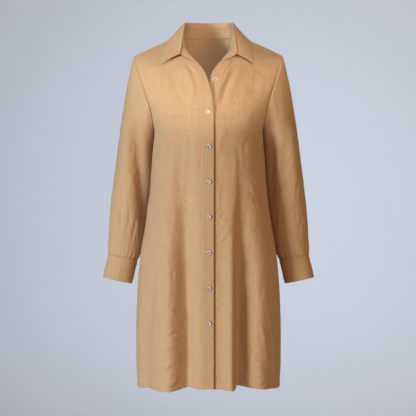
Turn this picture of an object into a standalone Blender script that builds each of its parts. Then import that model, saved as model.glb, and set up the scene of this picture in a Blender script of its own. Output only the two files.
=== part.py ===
"""Long-sleeved shirt dress, filled out as on a wearer and empty inside.

Metres, +Z up, front toward -Y, X to the viewer's right. The origin is the middle of the
neck, level with the points where the shoulder seams meet the neck. Tables are in
millimetres. "left" and "right" are the viewer's. Each cut piece of cloth is one closed
wall; neighbours stay a seam gap apart.
"""
import math

import bmesh
import bpy
import numpy as np

for old in list(bpy.data.objects):
    bpy.data.objects.remove(old, do_unlink=True)

MM = 0.001

# Cloth walls and gaps, millimetres.
CLOTH_WALL = 1.2
BAND_WALL = 1.0
COLLAR_WALL = 1.6
CUFF_WALL = 1.8
SEAM_GAP = 0.4
LAY_GAP = 0.3

# Main sizes, millimetres.
BAND_WIDTH = 32.0
BAND_COLUMNS = 3
FRONT_OVERLAP = 14.0
BUTTON_RADIUS = 7.0
BUTTON_HEIGHT = 2.6
FIRST_FASTENED_Z = -216.0
BUTTON_SPACING = 91.75
FASTENED_BUTTONS = 7
OPEN_BUTTON_Z = -130.0
SHOULDER_NECK_X = 70.0

# Mesh fineness.
FRONT_COLUMNS = 13
BACK_NECK_COLUMNS = 6
BACK_SHOULDER_COLUMNS = 8
CAP_RINGS = 6
BUTTON_SIDES = 16
ARC_SAMPLES = 90

UNDERARM_ROW = 8
SHOULDER_ROW = 17

# Half of the dress from the middle line out to the side seam, and above the underarm out
# to the armhole. A row is a bent line from (0, mid_y, mid_z) to (side_x, side_y, side_z).
# corner_x, corner_y and corner_z say how square it bends: 1, 0 is a full round quarter
# and 0.5, 0.5 a straight line.
ROW_COLUMNS = ("mid_z", "mid_y", "side_x", "side_y", "side_z",
               "corner_x", "corner_y", "corner_z", "power")
FRONT_ROWS = (
    (-936, -131, 190.5, 2, -946, 1.00, 0.00, 0.5, 2.15),
    (-867, -131, 194.2, 2, -870, 1.00, 0.00, 0.5, 2.15),
    (-796, -130, 194.3, 0, -797, 1.00, 0.00, 0.5, 2.15),
    (-694, -129, 191.0, -6, -694, 1.00, 0.00, 0.5, 2.15),
    (-591, -127, 182.0, -12, -591, 1.00, 0.00, 0.5, 2.15),
    (-507, -126, 168.0, -14, -507, 1.00, 0.00, 0.5, 2.20),
    (-416, -124, 156.0, -12, -416, 1.00, 0.00, 0.5, 2.25),
    (-330, -122, 150.5, -8, -330, 1.00, 0.00, 0.5, 2.30),
    (-262, -121, 144.5, 0, -260, 1.00, 0.00, 0.5, 2.30),
    (-242, -120, 148.0, -35, -238, 0.98, 0.00, 0.5, 2.20),
    (-220, -118, 152.0, -49, -215, 0.93, 0.02, 0.5, 2.10),
    (-200, -114, 157.0, -55, -194, 0.88, 0.04, 0.5, 2.00),
    (-178, -108, 164.0, -56, -173, 0.82, 0.07, 0.5, 2.00),
    (-150, -99, 172.5, -51, -148, 0.76, 0.10, 0.5, 2.00),
    (-112, -85, 182.0, -41, -118, 0.70, 0.15, 0.5, 2.00),
    (-72, -66, 191.0, -27, -88, 0.62, 0.25, 0.5, 2.00),
    (-26, -38, 196.0, -12, -67, 0.55, 0.40, 0.45, 2.00),
    (26, 8, 196.0, 4, -54, 0.50, 0.50, 0.38, 2.00),
)
BACK_ROWS = (
    (-941, 132, 190.5, 2, -946, 1.00, 0.00, 0.5, 2.15),
    (-868, 129, 194.2, 2, -870, 1.00, 0.00, 0.5, 2.15),
    (-796, 126, 194.3, 0, -797, 1.00, 0.00, 0.5, 2.15),
    (-694, 121, 191.0, -6, -694, 1.00, 0.00, 0.5, 2.15),
    (-591, 114, 182.0, -12, -591, 1.00, 0.00, 0.5, 2.15),
    (-507, 107, 168.0, -14, -507, 1.00, 0.00, 0.5, 2.15),
    (-416, 102, 156.0, -12, -416, 1.00, 0.00, 0.5, 2.15),
    (-330, 101, 150.5, -8, -330, 1.00, 0.00, 0.5, 2.15),
    (-262, 103, 144.5, 0, -260, 1.00, 0.00, 0.5, 2.15),
    (-244, 104, 147.0, 30, -249, 0.98, 0.00, 0.5, 2.10),
    (-220, 105, 151.0, 46, -231, 0.93, 0.02, 0.5, 2.10),
    (-190, 105, 157.0, 56, -207, 0.88, 0.04, 0.5, 2.05),
    (-155, 103, 165.0, 60, -179, 0.84, 0.06, 0.5, 2.00),
    (-118, 98, 174.0, 57, -150, 0.80, 0.10, 0.5, 2.00),
    (-80, 89, 183.0, 48, -120, 0.74, 0.15, 0.5, 2.00),
)

# Back neckline from the middle out, as x, y, z.
BACK_NECK = (
    (0.0, 66.0, -2.0),
    (20.0, 64.2, -2.0),
    (38.0, 58.0, -2.5),
    (52.0, 47.0, -3.5),
    (62.0, 33.0, -4.0),
    (68.0, 20.0, -3.0),
)

# The open front edge and neckline as distance out from the middle line, by height.
EDGE_COLUMNS = ("z", "left", "right")
FRONT_EDGE = (
    (-1000, -14.0, -14.0),
    (-250, -14.0, -14.0),
    (-204, -12.5, -11.5),
    (-174, -9.0, -6.5),
    (-158, -5.0, -2.0),
    (-136, 0.0, 3.5),
    (-121, 5.5, 6.0),
    (-102, 15.6, 15.0),
    (-87, 27.3, 26.0),
    (-76, 36.5, 36.0),
    (-60, 49.5, 49.0),
    (-36, 60.0, 59.5),
    (-14, 66.0, 65.5),
    (2, 70.0, 70.0),
    (60, 74.0, 74.0),
)
CORNER_Z = -76.0

# How the back rises over the shoulder blades to the neck and shoulder seams.
YOKE_LEAVE = 2.4
YOKE_ARRIVE = 0.9
YOKE_SHIFT = 14.0

# Mesh rows of a front: how many steps inside each interval of FRONT_ROWS.
ROW_STEPS = (2, 1, 2, 2, 2, 1, 1, 1, 1, 1, 1, 2, 2, 2, 3, 3, 3)
BACK_STEPS = (2, 1, 2, 2, 2, 1, 1, 1, 1, 1, 1, 1, 2, 2)
YOKE_STEPS = 6

# Large hanging folds. x is the distance from the middle line at the hem and at the upper
# end, near and far the half widths toward and away from the middle line.
FOLD_COLUMNS = ("panel", "x_hem", "x_top", "z_top", "near", "far", "out")
FOLDS = (
    ("left", 60, 84, -280, 30, 24, -38),
    ("left", 110, 112, -330, 28, 34, 14),
    ("left", 162, 140, -620, 16, 16, -6),
    ("right", 94, 90, -280, 26, 28, -36),
    ("right", 56, 60, -330, 26, 20, 13),
    ("right", 144, 124, -420, 22, 26, 9),
    ("right", 178, 150, -600, 12, 14, 7),
    ("back", 78, 70, -330, 34, 30, -26),
    ("back", 118, 104, -420, 22, 26, 9),
    ("back", 22, 18, -480, 26, 26, 7),
)
FOLD_FULL_Z = -860.0
FOLD_CLEAR = 18.5
FOLD_REACH = 30.0
HEM_RISE = 0.2
HEM_ROWS = 3
SIDE_COLUMNS = 3

# Long soft troughs and ridges of the sleeves. Turn is in degrees round the sleeve, 0 at
# the outside and 90 at the front; it moves evenly from the upper to the lower end.
SLEEVE_FOLD_COLUMNS = ("side", "turn_top", "z_top", "turn_low", "z_low", "wide", "out")
SLEEVE_FOLDS = (
    ("left", 66, -190, 142, -540, 15, -7.5),
    ("left", 40, -210, 96, -500, 20, 3.0),
    ("right", 112, -190, 146, -520, 20, -5.5),
    ("right", 34, -200, 62, -470, 18, 3.0),
    ("right", 66, -220, 100, -480, 14, -2.5),
)

# Near the open neck the fronts stand off the wearer and roll outward.
LIFT_COLUMNS = ("z", "left", "right")
EDGE_LIFT = (
    (-1000, 3.1, 0.0),
    (-230, 3.1, 0.0),
    (-190, 6.0, 0.5),
    (-150, 9.0, 2.0),
    (-110, 8.0, 4.0),
    (-80, 4.0, 4.0),
    (-50, 2.0, 2.0),
    (-20, 0.0, 0.0),
    (60, 0.0, 0.0),
)
LIFT_REACH = 38.0

# Rings of the sleeve from the upper arm to the cuff seam; the ring leans by lean.
SLEEVE_COLUMNS = ("z", "outer", "inner", "mid_y", "deep", "lean")
SLEEVE_RINGS = (
    (-300, 244.5, 152.8, 17, 50, 8),
    (-350, 251.0, 154.5, 22, 49, 10),
    (-393, 257.0, 156.0, 26, 48, 12),
    (-436, 262.5, 159.5, 29, 47, 14),
    (-479, 267.0, 164.0, 30, 45, 15),
    (-522, 270.0, 170.0, 29, 43, 15),
    (-556, 271.5, 177.0, 26, 40, 15),
    (-582, 272.5, 184.5, 23, 36, 15),
    (-598, 272.0, 192.5, 21, 31, 14),
)
CUFF_RINGS = (
    (-598.4, 271.8, 192.6, 20.9, 30.6, 14),
    (-620.0, 276.2, 197.6, 19, 29.5, 15),
    (-640.0, 280.5, 202.6, 17, 29.5, 16),
    (-662.3, 285.3, 208.0, 15, 29.5, 17),
)

# How the sleeve leaves the armhole: outward and downward pull, and how much it turns to
# the front or the back.
LEAVING_COLUMNS = ("outward", "downward")
LEAVING = {"top": (45, -40), "side": (34, -58), "bottom": (12, -30)}
LEAVING_TURN = 10.0
CAP_SPACING = 1.25

CUFF_COLUMNS = 30
CUFF_START = 250.0
CUFF_LAP = 26.0
CUFF_RAMP = 40.0
CUFF_RISE = 2.3
STAND_BUTTON_STATION = -3

# Collar rings from the middle of the back to the front end, one row per station. The
# first point is the neck seam, then the top of the stand, the fold and the free edge.
COLLAR_COLUMNS = ("along", "top_x", "top_y", "top_z", "fold_x", "fold_y", "fold_z",
                  "edge_x", "edge_y", "edge_z")
COLLAR = (
    (0.00, 0, 65.5, 25, 0, 66, 41.5, 0, 88, -7),
    (0.15, 28, 61, 25, 28, 62, 41.5, 33, 84, -7),
    (0.30, 51, 47, 25, 51, 48, 41.5, 65, 70, -9),
    (0.42, 59.5, 28, 23.5, 59.0, 28, 40, 84.5, 46, -8.5),
    (0.52, 63, 9, 17, 62, 7, 34, 97, 19, -6),
    (0.63, 65, -10, 3, 64.5, -13, 17, 107.5, -1, -12),
    (0.75, 67.5, -29, -16, 68.5, -32, -7, 116.5, -19, -31),
    (0.87, 69.5, -46, -38, 72, -49, -33, 119.5, -45, -57),
    (1.00, 73, -60, -58, 75.5, -61.5, -55, 121, -71, -83.5),
)
COLLAR_STEPS = (9, 10)
STAND_STEPS = 3
FALL_STEPS = 6
LEAF_BOW = 1.6

# Roll of the leaf over the stand, as shares of its radius.
FOLD_ROUND = 2.6
ROLL_COLUMNS = ("away", "down")
LEAF_ROLL = ((0.0, 1.0), (0.13, 0.0), (0.9, 0.0), (2.0, 0.9))

# Neck seam of the stand: lifted above the seam at the back, laid on the rolled front
# edges and on the bands toward its ends, which run ahead in a round tip.
STAND_UP = 1.8
ROLL_START = 0.5
ROLL_REACH = 0.3
BAND_START = 0.8
BAND_REACH = 0.1
STAND_END = 8.0
STAND_TIP_COLUMNS = ("from_end", "share")
STAND_TIP = ((1, 1.0), (2, 0.55), (3, 0.2))

# Button from the edge of its back to its dish, as shares of its radius and height.
PROFILE_COLUMNS = ("radius", "height")
BUTTON_PROFILE = ((0.84, 0.0), (1.0, 0.38), (0.96, 0.8), (0.82, 1.0), (0.62, 0.86), (0.5, 0.6))

# Shortest share of its length that a wall keeps across a seam's bend.
MEET_LEAST = 0.75


def read(table, columns, name):
    """One named column of a table as numbers."""
    place = columns.index(name)
    return np.array([row[place] for row in table], dtype=float)


def smooth(knots, values, where):
    """Cubic curve through the knots that never swings past them."""
    step = np.diff(knots)
    slope = np.diff(values) / step
    steep = np.zeros(len(values))
    steep[0] = slope[0]
    steep[-1] = slope[-1]
    for i in range(1, len(values) - 1):
        if slope[i - 1] * slope[i] > 0:
            steep[i] = 2 * slope[i - 1] * slope[i] / (slope[i - 1] + slope[i])
    where = np.asarray(where, dtype=float)
    i = np.clip(np.searchsorted(knots, where, side="right") - 1, 0, len(step) - 1)
    t = np.clip((where - knots[i]) / step[i], 0, 1)
    first = (1 + 2 * t) * (1 - t) ** 2 * values[i] + t * (1 - t) ** 2 * step[i] * steep[i]
    second = t * t * (3 - 2 * t) * values[i + 1] - t * t * (1 - t) * step[i] * steep[i + 1]
    return first + second


def row_values(table, row):
    """All columns of a form table at a row number that may lie between two rows.

    The side seam stops at the underarm, where front and back go on differently."""
    knots = np.arange(len(table), dtype=float)
    part = slice(0, UNDERARM_ROW + 1) if row <= UNDERARM_ROW else slice(UNDERARM_ROW, None)
    found = {}
    for name in ROW_COLUMNS:
        values = read(table, ROW_COLUMNS, name)
        if name.startswith("side"):
            found[name] = float(smooth(knots[part], values[part], row))
        else:
            found[name] = float(smooth(knots, values, row))
    return found


def form_line(table, row):
    """Points of one row from the middle line to the side, evenly fine."""
    r = row_values(table, row)
    start = np.array([0, r["mid_y"], r["mid_z"]])
    end = np.array([r["side_x"], r["side_y"], r["side_z"]])
    share = np.array([r["corner_x"], r["corner_y"], r["corner_z"]])
    corner = start + (end - start) * share
    centre = start + end - corner
    turn = np.linspace(0, math.pi / 2, ARC_SAMPLES)[:, None]
    c = np.cos(turn).clip(0, 1) ** (2 / r["power"])
    s = np.sin(turn).clip(0, 1) ** (2 / r["power"])
    return centre + (start - centre) * c + (end - centre) * s


def lengths(line):
    """Length along a line up to each of its points."""
    steps = np.linalg.norm(np.diff(line, axis=0), axis=1)
    return np.concatenate([[0], np.cumsum(steps)])


def along(line, where, run=None):
    """Points of a line at given lengths."""
    run = lengths(line) if run is None else run
    return np.stack([np.interp(where, run, line[:, k]) for k in range(3)], axis=1)


def whole_line(table, row):
    """A row with its mirror image before it, and lengths that are 0 in the middle."""
    half = form_line(table, row)
    run = lengths(half)
    mirrored = half[:0:-1] * np.array([-1, 1, 1])
    return np.concatenate([mirrored, half]), np.concatenate([-run[:0:-1], run])


def edge_length(line, run, side):
    """Length from the middle at which a row crosses the front edge."""
    edge = smooth(read(FRONT_EDGE, EDGE_COLUMNS, "z"),
                  read(FRONT_EDGE, EDGE_COLUMNS, side), line[:, 2])
    over = line[:, 0] - edge
    i = int(np.argmax(over > 0))
    return float(np.interp(0, over[i - 1:i + 1], run[i - 1:i + 1]))


def row_numbers(steps):
    """Row numbers of the mesh, from the steps inside each interval."""
    numbers = [0.0]
    for i, count in enumerate(steps):
        numbers += [i + (k + 1) / count for k in range(count)]
    return numbers


def normals_of(grid):
    """Unit normals of a grid of points from the differences of its neighbours."""
    up = np.gradient(grid, axis=0)
    across = np.gradient(grid, axis=1)
    normal = np.cross(across, up)
    return normal / np.linalg.norm(normal, axis=2, keepdims=True)


def fold_depth(panel, x, z):
    """How far the large folds push the cloth out (or in, below zero)."""
    out = np.zeros_like(x)
    for row in FOLDS:
        f = dict(zip(FOLD_COLUMNS, row))
        if f["panel"] != panel:
            continue
        fade = np.clip((f["z_top"] - z) / (f["z_top"] - FOLD_FULL_Z), 0, 1)
        fade = fade * fade * (3 - 2 * fade)
        centre = f["x_top"] + (f["x_hem"] - f["x_top"]) * fade
        off = x - centre
        wide = np.where(off < 0, f["near"], f["far"])
        out += f["out"] * fade * np.exp(-(off / wide) ** 2)
    if panel == "back":
        return out
    clear = np.clip((np.abs(x) - FOLD_CLEAR) / FOLD_REACH, 0, 1)
    return out * clear * clear * (3 - 2 * clear)


def side_fade(count):
    """Nothing at the side seam, all from a few columns in."""
    return np.clip(np.arange(count)[::-1] / SIDE_COLUMNS, 0, 1)


def draped(grid, panel, lift=None):
    """The grid with its folds, and its lift along the open edge."""
    normal = normals_of(grid)
    out = fold_depth(panel, grid[..., 0], grid[..., 2])
    out = out * side_fade(grid.shape[1])[None, :]
    moved = grid + normal * out[..., None]
    low = np.clip(1 - np.arange(len(grid)) / HEM_ROWS, 0, 1)[:, None]
    moved[..., 2] -= HEM_RISE * out * low
    if lift is not None:
        moved += normal * lift[..., None]
    return moved


def front_grid(side):
    """Mid surface of a front, front edge first, drawn on the right-hand side."""
    rows = []
    lift = []
    for number in row_numbers(ROW_STEPS):
        line, run = whole_line(FRONT_ROWS, number)
        start = edge_length(line, run, side)
        band = start + np.linspace(0, BAND_WIDTH, BAND_COLUMNS + 1)
        rest = np.linspace(band[-1], run[-1], FRONT_COLUMNS + 1)[1:]
        places = np.concatenate([band, rest])
        points = along(line, places, run)
        rows.append(points)
        height = smooth(read(EDGE_LIFT, LIFT_COLUMNS, "z"),
                        read(EDGE_LIFT, LIFT_COLUMNS, side), points[0, 2])
        reach = np.clip((places - start - BAND_WIDTH) / LIFT_REACH, 0, 1)
        lift.append(float(height) * (1 - reach * reach * (3 - 2 * reach)))
    return draped(np.array(rows), side, np.array(lift))


def shoulder_line():
    """Shoulder seam from the neck to the sleeve."""
    line, run = whole_line(FRONT_ROWS, SHOULDER_ROW)
    start = float(np.interp(SHOULDER_NECK_X, line[:, 0], run))
    return along(line, np.linspace(start, run[-1], BACK_SHOULDER_COLUMNS + 1), run)


def neck_line_back():
    """Back neckline from the middle to the shoulder seam."""
    line = np.concatenate([BACK_NECK, shoulder_line()[:1]])
    run = lengths(line)
    fine = np.linspace(0, run[-1], BACK_NECK_COLUMNS + 1)
    return np.stack([smooth(run, line[:, k], fine) for k in range(3)], axis=1)


def back_grid():
    """Mid surface of the right-hand half of the back, middle line first."""
    columns = BACK_NECK_COLUMNS + BACK_SHOULDER_COLUMNS + 1
    rows = []
    for number in row_numbers(BACK_STEPS):
        line = form_line(BACK_ROWS, number)
        rows.append(along(line, np.linspace(0, lengths(line)[-1], columns)))
    lower = np.array(rows)
    top = np.concatenate([neck_line_back(), shoulder_line()[1:]])
    leave = (lower[-1] - lower[-2]) * BACK_STEPS[-1] * YOKE_LEAVE
    arrive = (top - lower[-1]) * YOKE_ARRIVE
    arrive[:, 1] -= YOKE_SHIFT
    upper = []
    for k in range(1, YOKE_STEPS + 1):
        t = k / YOKE_STEPS
        point = (1 + 2 * t) * (1 - t) ** 2 * lower[-1] + t * (1 - t) ** 2 * leave
        point = point + t * t * (3 - 2 * t) * top - t * t * (1 - t) * arrive
        upper.append(point)
    grid = np.concatenate([lower, np.array(upper)])
    flipped = draped(grid * np.array([1, -1, 1]), "back")
    return flipped * np.array([1, -1, 1])


def ring(values, turns):
    """Points of one leaning oval ring of a sleeve."""
    z, outer, inner, mid_y, deep, lean = values
    half = (outer - inner) / 2
    x = (outer + inner) / 2 + half * np.cos(turns)
    y = mid_y - deep * np.sin(turns)
    return np.stack([x, y, z + lean / 2 * np.cos(turns)], axis=1)


def table_rings(table, turns):
    """One ring for each row of a table."""
    return np.array([ring(row, turns) for row in table])


def armhole(front, back):
    """Armhole ring: down the front from the shoulder, then up the back."""
    down = front[row_numbers(ROW_STEPS).index(UNDERARM_ROW):, -1][::-1]
    up = back[row_numbers(BACK_STEPS).index(UNDERARM_ROW) + 1:-1, -1]
    return np.concatenate([down, up]), len(down) - 1


def ring_turns(hole, bottom):
    """Turn of each armhole point, half a turn for the front and half for the back."""
    closed = np.concatenate([hole, hole[:1]])
    run = lengths(closed)
    front = run[:bottom + 1] / run[bottom] * math.pi
    back = math.pi + (run[bottom + 1:-1] - run[bottom]) / (run[-1] - run[bottom]) * math.pi
    return np.concatenate([front, back])


def leaving(turns):
    """Direction and pull with which the sleeve leaves the armhole."""
    share = {"top": np.clip(np.cos(turns), 0, 1) ** 2,
             "side": np.sin(turns) ** 2,
             "bottom": np.clip(-np.cos(turns), 0, 1) ** 2}
    outward = sum(share[name] * LEAVING[name][0] for name in share)
    downward = sum(share[name] * LEAVING[name][1] for name in share)
    return np.stack([outward, -LEAVING_TURN * np.sin(turns), downward], axis=1)


def sleeve_grid(front, back):
    """Mid surface of the right-hand sleeve, rings from the armhole down, and their turns."""
    hole, bottom = armhole(front, back)
    turns = ring_turns(hole, bottom)
    rings = table_rings(SLEEVE_RINGS, turns)
    start = leaving(turns)
    end = rings[1] - rings[0]
    end = end / np.linalg.norm(end, axis=1, keepdims=True)
    end = end * np.linalg.norm(rings[0] - hole, axis=1, keepdims=True)
    cap = []
    for k in range(CAP_RINGS):
        t = (k / CAP_RINGS) ** CAP_SPACING
        point = (1 + 2 * t) * (1 - t) ** 2 * hole + t * (1 - t) ** 2 * start
        point = point + t * t * (3 - 2 * t) * rings[0] - t * t * (1 - t) * end
        cap.append(point)
    return np.concatenate([np.array(cap), rings]), turns


def folded_sleeve(grid, turns, side):
    """The sleeve with the long folds of one side."""
    out = np.zeros(grid.shape[:2])
    for row in SLEEVE_FOLDS:
        f = dict(zip(SLEEVE_FOLD_COLUMNS, row))
        if f["side"] != side:
            continue
        t = np.clip((f["z_top"] - grid[..., 2]) / (f["z_top"] - f["z_low"]), 0, 1)
        centre = f["turn_top"] + (f["turn_low"] - f["turn_top"]) * t
        off = (np.degrees(turns)[None, :] - centre) / f["wide"]
        out += f["out"] * np.sin(math.pi * t) * np.exp(-off ** 2)
    out[0] = 0
    return grid + ring_normals(grid) * out[..., None]


def ring_normals(grid):
    """Outward normals of a grid whose columns close round."""
    up = np.gradient(grid, axis=0)
    across = np.roll(grid, -1, axis=1) - np.roll(grid, 1, axis=1)
    normal = np.cross(across, up)
    return normal / np.linalg.norm(normal, axis=2, keepdims=True)


def pulled_in(grid, rows=(), columns=()):
    """Moves border points half a seam gap into the piece."""
    out = grid.copy()
    for i in rows:
        step = grid[1 if i == 0 else -2] - grid[i]
        out[i] += step / np.linalg.norm(step, axis=1, keepdims=True) * SEAM_GAP / 2
    for j in columns:
        step = grid[:, 1 if j == 0 else -2] - grid[:, j]
        out[:, j] += step / np.linalg.norm(step, axis=1, keepdims=True) * SEAM_GAP / 2
    return out


def meeting(first, second):
    """Shared wall direction of two pieces at a seam, a little longer at a bend."""
    both = first + second
    both = both / np.linalg.norm(both, axis=-1, keepdims=True)
    lean = np.sum(both * first, axis=-1, keepdims=True)
    return both / np.clip(lean, MEET_LEAST, 1)


def quads_of(rows, columns, first=0, closed=False):
    """Quads of a grid whose points are numbered row by row."""
    faces = []
    wrap = columns if closed else columns - 1
    for i in range(rows - 1):
        for j in range(wrap):
            k = (j + 1) % columns
            a = first + i * columns
            b = a + columns
            faces.append((a + j, a + k, b + k, b + j))
    return faces


def border(faces):
    """Border steps of a set of faces, in their own direction."""
    seen = {}
    for face in faces:
        for a, b in zip(face, face[1:] + face[:1]):
            seen[(a, b)] = True
    return [(a, b) for a, b in seen if (b, a) not in seen]


def wall_object(name, points, directions, faces, wall, look):
    """Closed wall of cloth: the faces moved out and in by half the wall, and its edges."""
    points = np.asarray(points).reshape(-1, 3)
    directions = np.asarray(directions).reshape(-1, 3)
    count = len(points)
    both = np.concatenate([points + directions * wall / 2, points - directions * wall / 2])
    solid = list(faces)
    solid += [tuple(v + count for v in face[::-1]) for face in faces]
    solid += [(b, a, a + count, b + count) for a, b in border(faces)]
    return mesh_object(name, both, solid, look)


def mesh_object(name, points, faces, look):
    """Object from points in millimetres, with outward faces and smooth shading."""
    mesh = bpy.data.meshes.new(name)
    mesh.from_pydata([tuple(p * MM) for p in np.asarray(points)], [], faces)
    bm = bmesh.new()
    bm.from_mesh(mesh)
    bmesh.ops.recalc_face_normals(bm, faces=bm.faces)
    bmesh.ops.triangulate(bm, faces=bm.faces)
    for face in bm.faces:
        face.smooth = True
    bm.to_mesh(mesh)
    bm.free()
    mesh.materials.append(look)
    made = bpy.data.objects.new(name, mesh)
    bpy.context.collection.objects.link(made)
    return made


def material(name, colour, roughness):
    """Plain Principled material."""
    look = bpy.data.materials.new(name)
    look.use_nodes = True
    shader = look.node_tree.nodes["Principled BSDF"]
    shader.inputs["Base Color"].default_value = (*colour, 1)
    shader.inputs["Roughness"].default_value = roughness
    shader.inputs["Metallic"].default_value = 0.0
    return look


def mirrored(points, side):
    """Right-hand points, turned to the left-hand side when asked."""
    flip = np.array([-1.0 if side == "left" else 1.0, 1, 1])
    return points * flip


def corner_row(grid):
    """Mesh row whose front edge reaches the corner under the collar."""
    return int(np.argmin(np.abs(grid[:, 0, 2] - CORNER_Z)))


def make_front(side, grid, normal, look):
    """Front panel and the band along its open edge."""
    rows, columns = grid.shape[:2]
    points = pulled_in(grid, rows=(-1,), columns=(-1,))
    wall_object("front_" + side, mirrored(points, side), mirrored(normal, side),
                quads_of(rows, columns), CLOTH_WALL, look)
    top = corner_row(grid) + 1
    off = CLOTH_WALL / 2 + LAY_GAP + BAND_WALL / 2
    strip = (points + normal * off)[:top, :BAND_COLUMNS + 1]
    wall_object("band_" + side, mirrored(strip, side),
                mirrored(normal[:top, :BAND_COLUMNS + 1], side),
                quads_of(top, BAND_COLUMNS + 1), BAND_WALL, look)


def make_back(grid, normal, look):
    """Back panel: the half and its mirror image joined along the middle line."""
    rows, columns = grid.shape[:2]
    points = pulled_in(grid, rows=(-1,), columns=(-1,))
    both = np.concatenate([mirrored(points, "left")[:, :0:-1], points], axis=1)
    walls = np.concatenate([mirrored(normal, "left")[:, :0:-1], normal], axis=1)
    wall_object("back", both, walls, quads_of(rows, columns * 2 - 1), CLOTH_WALL, look)


def make_sleeve(side, grid, first, look):
    """Sleeve tube; its walls lean at the armhole as the body's do."""
    rows, columns = grid.shape[:2]
    normal = ring_normals(grid)
    normal[0] = first
    points = pulled_in(grid, rows=(0,))
    wall_object("sleeve_" + side, mirrored(points, side), mirrored(normal, side),
                quads_of(rows, columns, closed=True), CLOTH_WALL, look)


def cuff_grid():
    """Mid surface of the right-hand cuff; its end laps over its start at the back."""
    whole = np.linspace(0, 2 * math.pi, ARC_SAMPLES)
    size = lengths(ring(CUFF_RINGS[0], whole))[-1]
    lap = 2 * math.pi * CUFF_LAP / size
    ramp = 2 * math.pi * CUFF_RAMP / size
    start = math.radians(CUFF_START)
    turns = np.linspace(start, start + 2 * math.pi + lap, CUFF_COLUMNS + 1)
    rise = np.clip((turns - start - 2 * math.pi + ramp) / ramp, 0, 1)
    rise = rise * rise * (3 - 2 * rise) * CUFF_RISE
    grid = table_rings(CUFF_RINGS, turns)
    grid = grid + normals_of(grid) * rise[None, :, None]
    return grid, normals_of(grid)


def make_cuff(side, look):
    """Cuff band."""
    grid, outward = cuff_grid()
    rows, columns = grid.shape[:2]
    wall_object("cuff_" + side, mirrored(grid, side), mirrored(outward, side),
                quads_of(rows, columns), CUFF_WALL, look)


def neck_seam(front, normal, back_normal):
    """Neck seam from the middle of the back to the front corner, and the way it faces."""
    corner = corner_row(front)
    seam = np.concatenate([neck_line_back()[:-1], front[corner:, 0][::-1]])
    facing = np.concatenate([back_normal[-1, :BACK_NECK_COLUMNS], normal[corner:, 0][::-1]])
    return seam, facing


def collar_lines(front, normal, back_normal):
    """Neck seam, stand top, fold and free edge at even stations."""
    seam, facing = neck_seam(front, normal, back_normal)
    run = lengths(seam)
    shoulder = run[BACK_NECK_COLUMNS] / run[-1]
    share = np.concatenate([np.linspace(0, shoulder, COLLAR_STEPS[0] + 1),
                            np.linspace(shoulder, 1, COLLAR_STEPS[1] + 1)[1:]])
    low = along(seam, share * run[-1])
    facing = along(facing, share * run[-1], run)
    knots = read(COLLAR, COLLAR_COLUMNS, "along")

    def line(name):
        return np.stack([smooth(knots, read(COLLAR, COLLAR_COLUMNS, name + "_" + axis), share)
                         for axis in "xyz"], axis=1)

    top = line("top")
    up = top - low
    up = up / np.linalg.norm(up, axis=1, keepdims=True)
    rolled = np.clip((share - ROLL_START) / ROLL_REACH, 0, 1)[:, None]
    low = low + up * STAND_UP * (1 - rolled)
    over_band = np.clip((share - BAND_START) / BAND_REACH, 0, 1)[:, None] * (BAND_WALL + LAY_GAP)
    low = low + facing * (CLOTH_WALL / 2 + LAY_GAP + COLLAR_WALL / 2 * rolled + over_band)
    return low, top, line("fold"), line("edge")


def stand_grid(low, top):
    """Collar stand, from the neck seam up to the seam of the leaf, with rounded ends."""
    rows = [low + (top - low) * k / STAND_STEPS for k in range(STAND_STEPS + 1)]
    half = np.array(rows).transpose(1, 0, 2)
    ahead = half[-1] - half[-2]
    ahead = ahead / np.linalg.norm(ahead, axis=1, keepdims=True)
    for back, size in STAND_TIP:
        half[-back, 1:-1] += ahead[1:-1] * STAND_END * size
    return np.concatenate([mirrored(half, "left")[:0:-1], half])


def make_collar(low, top, fold, edge, look):
    """Stand and leaf, with their walls leaning alike at the seam between them."""
    stand = stand_grid(low, top)
    leaf = leaf_grid(top, fold, edge)
    stand_walls = normals_of(stand)
    leaf_walls = normals_of(leaf)
    shared = meeting(stand_walls[:, -1], leaf_walls[:, 0])
    stand_walls[:, -1] = shared
    leaf_walls[:, 0] = shared
    wall_object("collar_stand", stand, stand_walls, quads_of(*stand.shape[:2]),
                COLLAR_WALL, look)
    wall_object("collar_leaf", leaf, leaf_walls, quads_of(*leaf.shape[:2]),
                COLLAR_WALL, look)
    return stand, stand_walls


def leaf_profile(top, fold, edge):
    """Leaf across one station: up to the fold, round it and down to the free edge."""
    fall = edge - fold
    fall = fall / np.linalg.norm(fall)
    rise = fold - top
    rise = rise / np.linalg.norm(rise)
    away = fall - rise * np.dot(fall, rise)
    away = away / np.linalg.norm(away)
    points = [top + rise * SEAM_GAP]
    for out, down in LEAF_ROLL:
        points.append(fold + (away * out - rise * down) * FOLD_ROUND)
    over = points[-1]
    bulge = np.cross(np.cross(edge - over, rise), edge - over)
    bulge = bulge / np.linalg.norm(bulge)
    for k in range(1, FALL_STEPS):
        t = k / FALL_STEPS
        points.append(over + (edge - over) * t + bulge * math.sin(math.pi * t) * LEAF_BOW)
    points.append(edge)
    return np.array(points)


def leaf_grid(top, fold, edge):
    """Collar leaf, folded over the stand."""
    half = np.array([leaf_profile(t, f, e) for t, f, e in zip(top, fold, edge)])
    return np.concatenate([mirrored(half, "left")[:0:-1], half])


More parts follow.
